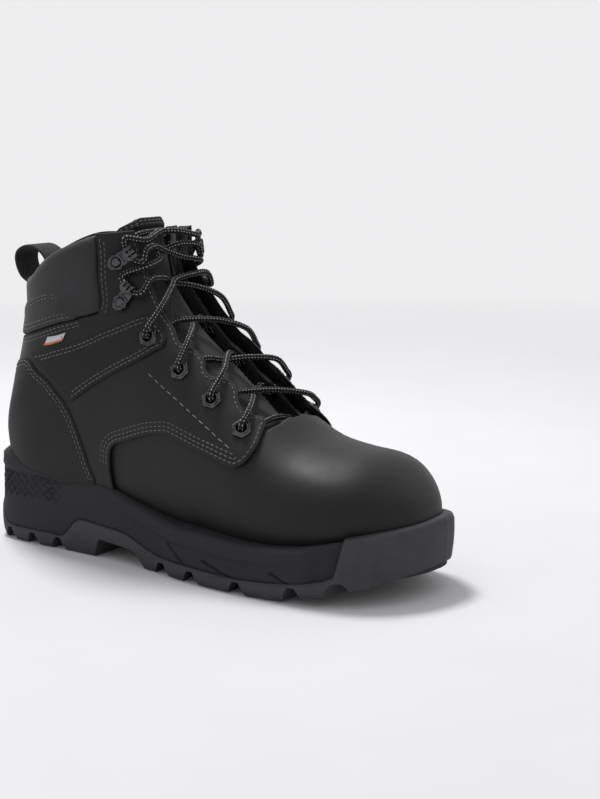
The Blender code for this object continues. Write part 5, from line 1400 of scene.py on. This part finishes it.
def upper_room():
    """The room that the upper takes, its layers added where they lie."""
    around = 120
    stations = np.concatenate([np.linspace(0.12, 2.1, 22), np.linspace(2.2, 12.2, 84)])
    angle = -PI + 2 * PI * np.arange(around) / around

    def depth(station):
        layers = (QUARTER_OUT - VAMP_OUT) * ramp(station, 7.5, 8.0)
        layers = layers + (ACHILLES_OUT - QUARTER_OUT) * ramp(station, 8.3, 8.7)
        return VAMP_OUT + 0.25 * MM + layers

    rings = [on_last(np.full(around, s), angle, np.full(around, float(depth(s)))) for s in stations]
    points = np.vstack([on_last(0.0, 0.0, 0.25 * MM)[None]] + rings)
    faces = [(0, 1 + (i + 1) % around, 1 + i) for i in range(around)]
    faces += ring_quads(1, len(stations), around)
    top = 1 + (len(stations) - 1) * around
    faces.append(tuple(top + i for i in range(around)))
    room = new_thing("upper_room", mesh_from("upper_room", points, faces), SCRATCH)
    tidy_normals(room)
    triangulate(room)
    return room


# ---------------------------------------------------------------- eyelets, hooks and rivets
WASHER_DEPTH = 1.1 * MM
HOOK_SEAT = QUARTER_OUT + LAYER_GAP
HOOK_GAP = 2 * LACE_RADIUS + 2 * LACE_GAP
HOOK_REACH = RIVET_HEAD + 2 * MM + HOOK_LIP + HOOK_PLATE
FLANGE_SINK = 0.1 * MM              # flanges press this far into the leather
# radius in millimetres, level, millimetres above it, and how hexagonal
EYELET_PROFILE = [(5.6, "seat", 0, 1), (5.6, "seat", 0.55, 1), (5.35, "seat", 0.85, 1), (4.8, "seat", 1.0, 1),
                  (4.35, "seat", 0.95, 0.3), (4.15, "seat", 1.3, 0), (3.75, "seat", 1.72, 0),
                  (3.35, "seat", 1.8, 0), (2.95, "seat", 1.6, 0), (2.75, "seat", 1.1, 0), (2.7, "seat", 0, 0),
                  (2.7, "washer", 0, 0), (2.7, "washer", -0.7, 0), (3.0, "washer", -0.9, 0),
                  (4.6, "washer", -0.8, 0), (4.76, "washer", -0.4, 0), (4.76, "washer", 0, 0),
                  (3.4, "washer", 0, 0), (3.4, "seat", 0, 0)]
RIVET_PROFILE = [(4.7, "seat", 0, 1), (4.7, "seat", 0.4, 1), (4.4, "seat", 0.7, 1), (3.3, "seat", 0.6, 0.2),
                 (2.9, "seat", 0.3, 0), (2.5, "seat", 0.8, 0), (1.9, "seat", 1.25, 0), (1.0, "seat", 1.45, 0),
                 (0.02, "seat", 1.5, 0), (0.02, "washer", -0.85, 0), (2.8, "washer", -0.8, 0),
                 (3.6, "washer", -0.3, 0), (3.6, "washer", 0, 0), (1.5, "washer", 0, 0), (1.5, "seat", 0, 0)]


def seat_matrix(place, side, depth=0.0):
    """Frame of a fastener: Z out of the leather, X towards the throat."""
    station, angle = place[0], side * place[1]
    _, around, normal = last_frames(station, angle)
    towards = around * side
    towards = towards - normal * (towards @ normal)
    towards /= np.linalg.norm(towards)
    across = np.cross(normal, towards)
    matrix = np.eye(4)
    matrix[:3, 0], matrix[:3, 1], matrix[:3, 2] = towards, across, normal
    matrix[:3, 3] = on_last(station, angle, depth)
    return matrix


def turned(profile, seat):
    """Points and faces of a fastener's closed profile turned about Z, its levels set for this seat."""
    steps, levels = 60, {"seat": seat, "washer": LINING_IN - WASHER_DEPTH}
    angle = 2 * PI * np.arange(steps) / steps
    folded = (angle + PI / 6) % (PI / 3) - PI / 6
    points, faces = [], []
    for radius, level, above, hexagon in profile:
        reach = radius * MM * (1 - hexagon + hexagon * 0.93 / np.cos(folded))
        height = levels[level] + above * MM
        points.append(np.column_stack([reach * np.cos(angle), reach * np.sin(angle), np.full(steps, height)]))
    rows = len(profile)
    for row in range(rows):
        following = (row + 1) % rows
        for i in range(steps):
            j = (i + 1) % steps
            faces.append((row * steps + i, row * steps + j, following * steps + j, following * steps + i))
    return np.vstack(points), faces


def placed(name, points, faces, matrix):
    points = points @ matrix[:3, :3].T + matrix[:3, 3]
    thing = new_thing(name, mesh_from(name, points, faces))
    tidy_normals(thing)
    return thing


def make_eyelets():
    """Hexagonal flanged eyelets with a raised ring and a rolled hole."""
    for label, side in SIDES.items():
        for number, place in enumerate(EYELET_PLACES, 1):
            seat = (STRAP_OUT if number == 1 else QUARTER_OUT) - FLANGE_SINK
            points, faces = turned(EYELET_PROFILE, seat)
            thing = placed(f"eyelet_ring_{label}_{number}", points, faces, seat_matrix(place, side))
            finish_piece(thing, "gunmetal", nodes=(f"eyelet_{label}_{number}",), degrees=28)


def hook_grid():
    """Middle surface of a speed hook: plate, bend and slotted lip with a rounded end."""
    outer = HOOK_GAP / 2 + HOOK_PLATE
    middle = outer - HOOK_PLATE / 2
    centre_x, centre_z = HOOK_REACH - outer, HOOK_SEAT + outer
    path = [(-5.4 * MM + i * (centre_x + 5.4 * MM) / 16, centre_z - middle) for i in range(17)]
    path += [(centre_x + middle * math.sin(PI * i / 12), centre_z - middle * math.cos(PI * i / 12))
             for i in range(1, 13)]
    lip = centre_x - HOOK_LIP + outer
    length = centre_x - lip
    path += [(centre_x - length * i / 9, centre_z + middle + 0.5 * MM * (i / 9) ** 2) for i in range(1, 10)]
    path = np.array(path)
    travelled = travelled_along(path)
    total = travelled[-1]
    columns = 16
    across = np.linspace(-1, 1, columns + 1)
    half = HOOK_WIDTH / 2
    narrow_back = np.sqrt(np.clip(1 - np.clip((4.0 * MM - travelled) / (4.0 * MM), 0, 1) ** 2, 0.12, 1))
    narrow_lip = np.sqrt(np.clip(1 - np.clip((travelled - total + 2.6 * MM) / (2.6 * MM), 0, 1) ** 2, 0.2, 1))
    waist = 1 - 0.16 * np.exp(-((travelled - 15.0 * MM) / (3 * MM)) ** 2)
    width = half * narrow_back * narrow_lip * waist
    points = np.array([(x, w * v, z) for (x, z), w in zip(path, width) for v in across])
    faces = []
    for row in range(len(path) - 1):
        for column in range(columns):
            middle_v = (across[column] + across[column + 1]) / 2
            s = (travelled[row] + travelled[row + 1]) / 2
            slot = 0.2 < abs(middle_v) < 0.55 and total - 11.5 * MM < s < total - 2.0 * MM
            if not slot:
                faces.append(cell(row, column, columns))
    return points, faces


def make_hooks():
    for label, side in SIDES.items():
        for number, place in enumerate(HOOK_PLACES, 1):
            matrix = seat_matrix(place, side)
            points, faces = hook_grid()
            hook = placed(f"speed_hook_{label}_{number}", points, faces, matrix)
            modify(hook, "SOLIDIFY", thickness=HOOK_PLATE * 0.95, offset=0.0)
            modify(hook, "BEVEL", width=0.22 * MM, segments=2, limit_method="ANGLE",
                   angle_limit=math.radians(50))
            bake_modifiers(hook)
            finish_piece(hook, "gunmetal", nodes=(f"lace_hook_{label}_{number}",), degrees=40)
            seat = HOOK_SEAT + HOOK_PLATE - FLANGE_SINK
            rivet = placed(f"rivet_dome_{label}_{number}", *turned(RIVET_PROFILE, seat), matrix)
            finish_piece(rivet, "gunmetal", nodes=(f"hook_rivet_{label}_{number}",), degrees=28)


# ---------------------------------------------------------------- lace
ON_TONGUE = TONGUE_OUT + 2 * LACE_GAP + LACE_RADIUS
OVER_STRAND = ON_TONGUE + 2 * LACE_RADIUS + LACE_GAP
OVER_FLANGE = EYELET_PLATE + LAYER_GAP + LACE_GAP + LACE_RADIUS
OVER_FACING = QUARTER_OUT + 2 * LACE_GAP + LACE_RADIUS
CAD_FACING = side_line((59, 92), (44, 101), (34, 113), (18, 124.5), (0, 138), (-12, 149.6), (-19, 159),
                       (-26, 171), (-30, 182), (-33, 199))
TUCK_STATION = 13.35
AGLET_PLACE = (12.45, 2.5)


def throat_angle(station):
    """Angle of the facing's edge at a station, on the outer side."""
    table = np.array(CAD_FACING)
    return float(np.interp(station, table[:, 0], table[:, 1]))


def fastener_point(place, side, forward, height, across=0.0):
    """Point in a fastener's frame: forward to the throat, height above the last's surface."""
    matrix = seat_matrix(place, side)
    return matrix[:3, :3] @ np.array([forward, across * side, height]) + matrix[:3, 3]


def crossing(start, end, side, strand):
    """Route over the throat from a facing's edge on one side to under the facing on the other."""
    s0, s1 = start[0], end[0]
    edge0 = throat_angle(s0 + 0.12 * (s1 - s0))
    edge1 = throat_angle(s1 - 0.12 * (s1 - s0))
    return [on_last(s0 + 0.10 * (s1 - s0), side * (edge0 + 0.02), OVER_FACING),
            on_last(s0 + 0.3 * (s1 - s0), side * (edge0 + (PI - edge0) * 0.55),
                    (OVER_FACING + strand) / 2 - 0.8 * MM),
            on_last((s0 + s1) / 2, side * PI, strand),
            on_last(s1 - 0.3 * (s1 - s0), -side * (edge1 + (PI - edge1) * 0.5),
                    ON_TONGUE + 0.15 * (strand - ON_TONGUE)),
            on_last(s1 - 0.10 * (s1 - s0), -side * (edge1 - 0.02), LACE_UNDER)]


def up_through(place, side, seat):
    """Route up through an eyelet, from under the facing to the flange's edge on the throat side."""
    forward, lift = EYELET_FLANGE, seat + OVER_FLANGE
    steps = [(0.45 * forward, LACE_UNDER - 0.1 * MM), (0.08 * forward, LACE_UNDER + 1.3 * MM),
             (0.0, LINING_IN), (0.0, seat - 0.5 * MM), (0.10 * forward, lift - 0.6 * MM),
             (0.5 * forward, lift + 0.35 * MM), (1.02 * forward, lift - 0.2 * MM)]
    return [fastener_point(place, side, *step) for step in steps]


def round_hook(place, side):
    """Route under a hook's lip: in from below, round, and out above."""
    middle = HOOK_SEAT + HOOK_PLATE + HOOK_GAP / 2
    inner = HOOK_REACH - HOOK_PLATE - HOOK_GAP / 2 - 0.6 * MM
    beside = HOOK_WIDTH / 2 + LACE_RADIUS
    steps = [(inner + 4.0 * MM, middle - 0.6 * MM, -beside - 2.6 * MM),
             (inner + 0.6 * MM, middle, -beside * 0.85), (inner - 0.4 * MM, middle, 0),
             (inner + 0.6 * MM, middle, beside * 0.85),
             (inner + 4.0 * MM, middle - 0.6 * MM, beside + 2.6 * MM)]
    return [fastener_point(place, side, *step) for step in steps]


def rise_to_hook(place, side):
    """From the tongue up over the facing's edge to a hook on this side."""
    station = place[0] - 0.5
    edge = throat_angle(station)
    return [on_last(station - 0.25, side * (PI - 0.55 * (PI - edge)), (ON_TONGUE + OVER_FACING) / 2),
            on_last(station, side * edge, OVER_FACING + 0.6 * MM)]


def leave_hook(place, side):
    """From a hook back over the facing's edge to the tongue."""
    station = place[0] + 0.5
    edge = throat_angle(station)
    return [on_last(station, side * (edge + 0.02), OVER_FACING + 0.4 * MM),
            on_last(station + 0.2, side * (PI - 0.5 * (PI - edge)), (ON_TONGUE + OVER_FACING) / 2)]


def half_lace(side, strand):
    """Half of the lace from the lowest eyelet on one side up to its top hook."""
    route = []
    order = EYELET_PLACES[::-1] + HOOK_PLACES[::-1]
    for index, place in enumerate(order):
        here = side if index % 2 == 0 else -side
        if index < 4:
            route += up_through(place, here, OVERLAY_OUT if index == 3 else QUARTER_OUT)
        else:
            route += round_hook(place, here)
        if index == 5:
            break
        following = order[index + 1]
        points = crossing(place, following, here, strand)
        if index == 3:
            points = points[:3] + rise_to_hook(following, -here)
        if index == 4:
            points = leave_hook(place, here) + points[2:3] + rise_to_hook(following, -here)
        route += points
    return route


def aglet_line(side):
    """Where the lace ends on a side, and the way its aglet points."""
    end = on_last(AGLET_PLACE[0], side * AGLET_PLACE[1], LACE_UNDER)
    aim = on_last(AGLET_PLACE[0] - 2.5, side * AGLET_PLACE[1], LACE_UNDER) - end
    return end, aim / np.linalg.norm(aim)


def tucked_end(side, strand):
    """From the top hook over the tongue and down behind the other facing."""
    other = -side
    edge = throat_angle(TUCK_STATION)
    points = leave_hook(HOOK_PLACES[0], side)[:1]
    points.append(on_last(TUCK_STATION - 0.25, side * (PI - 0.45 * (PI - edge)), (strand + OVER_FACING) / 2))
    points.append(on_last(TUCK_STATION, PI * side, strand))
    points.append(on_last(TUCK_STATION, other * (edge + 0.12), ON_TONGUE + 0.3 * MM))
    points.append(on_last(TUCK_STATION - 0.1, other * (edge - 0.06), LACE_UNDER))
    points.append(on_last(13.0, other * (edge - 0.13), LACE_UNDER))
    end, direction = aglet_line(other)
    return points + [end - direction * 3.0 * LACE_RADIUS, end]


def lace_route():
    bar = [on_last(3.98, angle, LACE_UNDER) for angle in (2.62, 2.85, PI, -2.85, -2.62)]
    first = half_lace(LATERAL, ON_TONGUE) + tucked_end(MEDIAL, ON_TONGUE)
    second = half_lace(MEDIAL, OVER_STRAND) + tucked_end(LATERAL, OVER_STRAND)
    return np.array(first[::-1] + bar + second)


def dense_route(points, spacing):
    """Evenly spaced points on a smooth line through the given ones."""
    fine = catmull(points, np.linspace(0, len(points) - 1, (len(points) - 1) * 40 + 1))
    travelled = travelled_along(fine)
    count = int(travelled[-1] / spacing)
    at = np.linspace(0, travelled[-1], count + 1)
    return np.column_stack([np.interp(at, travelled, fine[:, k]) for k in range(3)]), travelled[-1]


def carried_frames(path):
    """Directions across a path that don't spin about it."""
    tangent = np.gradient(path, axis=0)
    tangent /= np.linalg.norm(tangent, axis=1, keepdims=True)
    side = np.cross(tangent[0], (0, 0, 1.0))
    side /= np.linalg.norm(side)
    sides = []
    for t in tangent:
        side = side - t * (side @ t)
        side /= np.linalg.norm(side)
        sides.append(side.copy())
    sides = np.array(sides)
    return sides, np.cross(tangent, sides)


def make_lace():
    """One round braided lace, with its rows of light flecks carried by an attribute."""
    path, length = dense_route(lace_route(), 0.55 * MM)
    sides, ups = carried_frames(path)
    count = 20
    turn = 2 * PI * np.arange(count) / count
    at = np.linspace(0, length, len(path))[:, None]
    braid = np.maximum(np.sin(8 * turn[None] / 2 + at * 2 * PI / (2.6 * MM)),
                       np.sin(8 * turn[None] / 2 - at * 2 * PI / (2.6 * MM)))
    radius = LACE_RADIUS - 0.17 * MM + 0.17 * MM * braid
    points = (path[:, None] + radius[..., None] * (np.cos(turn)[None, :, None] * sides[:, None]
                                                   + np.sin(turn)[None, :, None] * ups[:, None]))
    rings = len(path)
    faces, corners = ring_quads(0, rings, count), []
    for ring in range(rings - 1):
        for i in range(count):
            corners += [(ring, i), (ring, i + 1), (ring + 1, i + 1), (ring + 1, i)]
    faces.append(tuple(range(count))[::-1])
    faces.append(tuple(range((rings - 1) * count, rings * count)))
    corners += [(0, i) for i in reversed(range(count))] + [(rings - 1, i) for i in range(count)]
    lace = new_thing("braided_lace", mesh_from("braided_lace", points.reshape(-1, 3), faces))
    # the third value is the strand's height, which the lace shader also uses to paint shade into the braid's
    # grooves
    values = np.array([(at[r, 0], 2 * PI * i / count, braid[r, i % count]) for r, i in corners], np.float32)
    attribute = lace.data.attributes.new("braid", "FLOAT_VECTOR", "CORNER")
    attribute.data.foreach_set("vector", values.ravel())
    finish_piece(lace, "lace_cord", nodes=("lace",), degrees=180)


# ---------------------------------------------------------------- pull tab
TAB_WIDTH, TAB_THICKNESS, TAB_INSIDE = 20 * MM, 1.8 * MM, 2.8 * MM
TAB_ARCH = [(-141, 166), (-145, 175), (-143, 181.5), (-134.5, 184.5), (-126, 182.5), (-119.5, 176)]


def make_pull_tab():
    """Webbing loop with lengthwise cords and woven edges, stitched across its outer end."""
    outside = ACHILLES_OUT + TAB_THICKNESS / 2
    within = LINING_IN - TAB_INSIDE - TAB_THICKNESS / 2
    path = [on_last(s, 0.0, outside) for s in (13.3, 13.7, 14.1, 14.4)]
    path += [np.array((x, 0, z)) * MM for x, z in TAB_ARCH]
    path += [on_last(s, 0.0, within) for s in (14.5, 14.2, 13.9)]
    path, _ = dense_route(np.array([(p[0], 0.0, p[2]) for p in path]), 0.6 * MM)
    tangent = np.gradient(path, axis=0)
    normal = np.cross(tangent, (0, 1.0, 0))
    normal /= np.linalg.norm(normal, axis=1, keepdims=True)
    columns = 48
    across = np.linspace(-1, 1, columns + 1)
    ribs = 0.10 * np.cos(across * PI * 11) * (np.abs(across) < 0.93)
    points = []
    for face in (1, -1):
        for row, (p, n) in enumerate(zip(path, normal)):
            picks = 0.05 * np.cos(row * PI * 0.9 + across * 9)
            edge = 1 - 0.35 * ramp(np.abs(across), 0.93, 1.0)
            lift = (TAB_THICKNESS / 2 * edge + (ribs + picks) * MM) * face
            line = p[None] + n[None] * lift[:, None]
            line[:, 1] = across * TAB_WIDTH / 2
            points.append(line)
    points = np.vstack(points)
    rows, faces = len(path), []
    half = rows * (columns + 1)
    for r in range(rows - 1):
        for c in range(columns):
            quad = cell(r, c, columns)
            faces += [quad, tuple(half + i for i in reversed(quad))]
        for c in (0, columns):
            a = r * (columns + 1) + c
            faces.append((a, a + columns + 1, a + columns + 1 + half, a + half))
    for r in (0, rows - 1):
        for c in range(columns):
            a = r * (columns + 1) + c
            faces.append((a, a + 1, a + 1 + half, a + half))
    tab = new_thing("webbing_loop", mesh_from("webbing_loop", points, faces))
    tidy_normals(tab)
    finish_piece(tab, "webbing", nodes=("pull_tab",), degrees=60)
    lines = []
    out = -normal if normal[0, 0] > 0 else normal
    for row in (4, 9, 20):
        y = np.linspace(-10, 10, 30) * MM
        lift = path[row] + out[row] * (TAB_THICKNESS / 2 + 0.1 * MM)
        lines.append((np.column_stack([np.full(30, lift[0]), y, np.full(30, lift[2])]),
                      np.repeat(out[row][None], 30, 0)))
    stitches("tab_stitching", lines)


# ---------------------------------------------------------------- CAD nodes that stay
HIDDEN_LOOKS = {"steel_toe_cap": "steel", "steel_shank": "steel", "toe_cap_edge_strip": "stiff_plastic",
                "heel_stiffener": "stiff_plastic", "vamp_lining": "dark_fabric",
                "insole_board": "fibre_board", "aglet_1": "aglet_plastic", "aglet_2": "aglet_plastic"}


def dress_hidden_nodes():
    for name, key in HIDDEN_LOOKS.items():
        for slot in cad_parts[name].material_slots:
            slot.material = MATERIALS[key]


# ---------------------------------------------------------------- camera, light and floor
KEY_PLACE, KEY_AIM, KEY_SIZE, KEY_POWER = (-0.42, 0.16, 1.42), (0.03, 0, 0.06), 0.34, 20
WORLD_COLOUR, WORLD_STRENGTH = (0.97, 0.97, 0.985, 1), 0.88
FLOOR_HALF, FLOOR_FADE = 6.0, (0.45, 1.5)


def make_camera():
    azimuth, elevation, roll = math.radians(34.04), math.radians(9.86), math.radians(-0.30)
    target, distance = Vector((0.1273, -0.0927, 0.1232)), 0.7897
    back = Vector((math.sin(azimuth) * math.cos(elevation), -math.cos(azimuth) * math.cos(elevation),
                   math.sin(elevation)))
    right = Vector((math.cos(azimuth), math.sin(azimuth), 0))
    up = back.cross(right)
    right, up = (right * math.cos(roll) + up * math.sin(roll), up * math.cos(roll) - right * math.sin(roll))
    data = bpy.data.cameras.new("camera")
    data.lens = 71.15
    data.sensor_width = 36.0
    data.clip_start = 0.01
    camera = bpy.data.objects.new("camera", data)
    bpy.context.scene.collection.objects.link(camera)
    turn = Matrix((right, up, back)).transposed().to_4x4()
    camera.matrix_world = Matrix.Translation(target + back * distance) @ turn
    bpy.context.scene.camera = camera


def key_light():
    data = bpy.data.lights.new("key", "AREA")
    data.shape = "RECTANGLE"
    data.size, data.size_y = KEY_SIZE, KEY_SIZE
    data.energy = KEY_POWER
    light = bpy.data.objects.new("key", data)
    bpy.context.scene.collection.objects.link(light)
    light.location = KEY_PLACE
    light.rotation_euler = (Vector(KEY_AIM) - Vector(KEY_PLACE)).to_track_quat("-Z", "Y").to_euler()


def floor_material():
    """Pale paper that fades into the background away from the object."""
    n = Nodes("floor_paper", (0.86, 0.86, 0.87), 0.95, Specular_IOR_Level=0.05)
    n.vary_colour(n.noise(8, 3), (0.55, 0.55, 0.56), (0.57, 0.57, 0.58))
    n.vary_roughness(n.noise(30, 3), 0.9, 1.0)
    length = n.new("ShaderNodeVectorMath", operation="LENGTH")
    n.link(n.coords, length.inputs[0])
    n.link(n.spread(length.outputs["Value"], 1.0, 0.0, *FLOOR_FADE), n.shader.inputs["Alpha"])
    return n.material


def make_stage():
    side = FLOOR_HALF
    mesh = mesh_from("floor", [(-side, -side, 0), (side, -side, 0), (side, side, 0), (-side, side, 0)],
                     [(0, 1, 2, 3)])
    floor = bpy.data.objects.new("floor", mesh)
    bpy.context.scene.collection.objects.link(floor)
    mesh.materials.append(floor_material())
    world = bpy.data.worlds.new("studio")
    bpy.context.scene.world = world
    world.use_nodes = True
    background = world.node_tree.nodes["Background"]
    background.inputs["Color"].default_value = WORLD_COLOUR
    background.inputs["Strength"].default_value = WORLD_STRENGTH
    key_light()
    bpy.context.scene.view_settings.view_transform = "Standard"


make_camera()
make_lace()
make_outsole()
make_midsole()
make_vamp()
make_overlays(make_quarters())
make_lining()
make_collar()
make_tongue()
make_footbed()
make_eyelets()
make_hooks()
make_pull_tab()
dress_hidden_nodes()
make_stage()
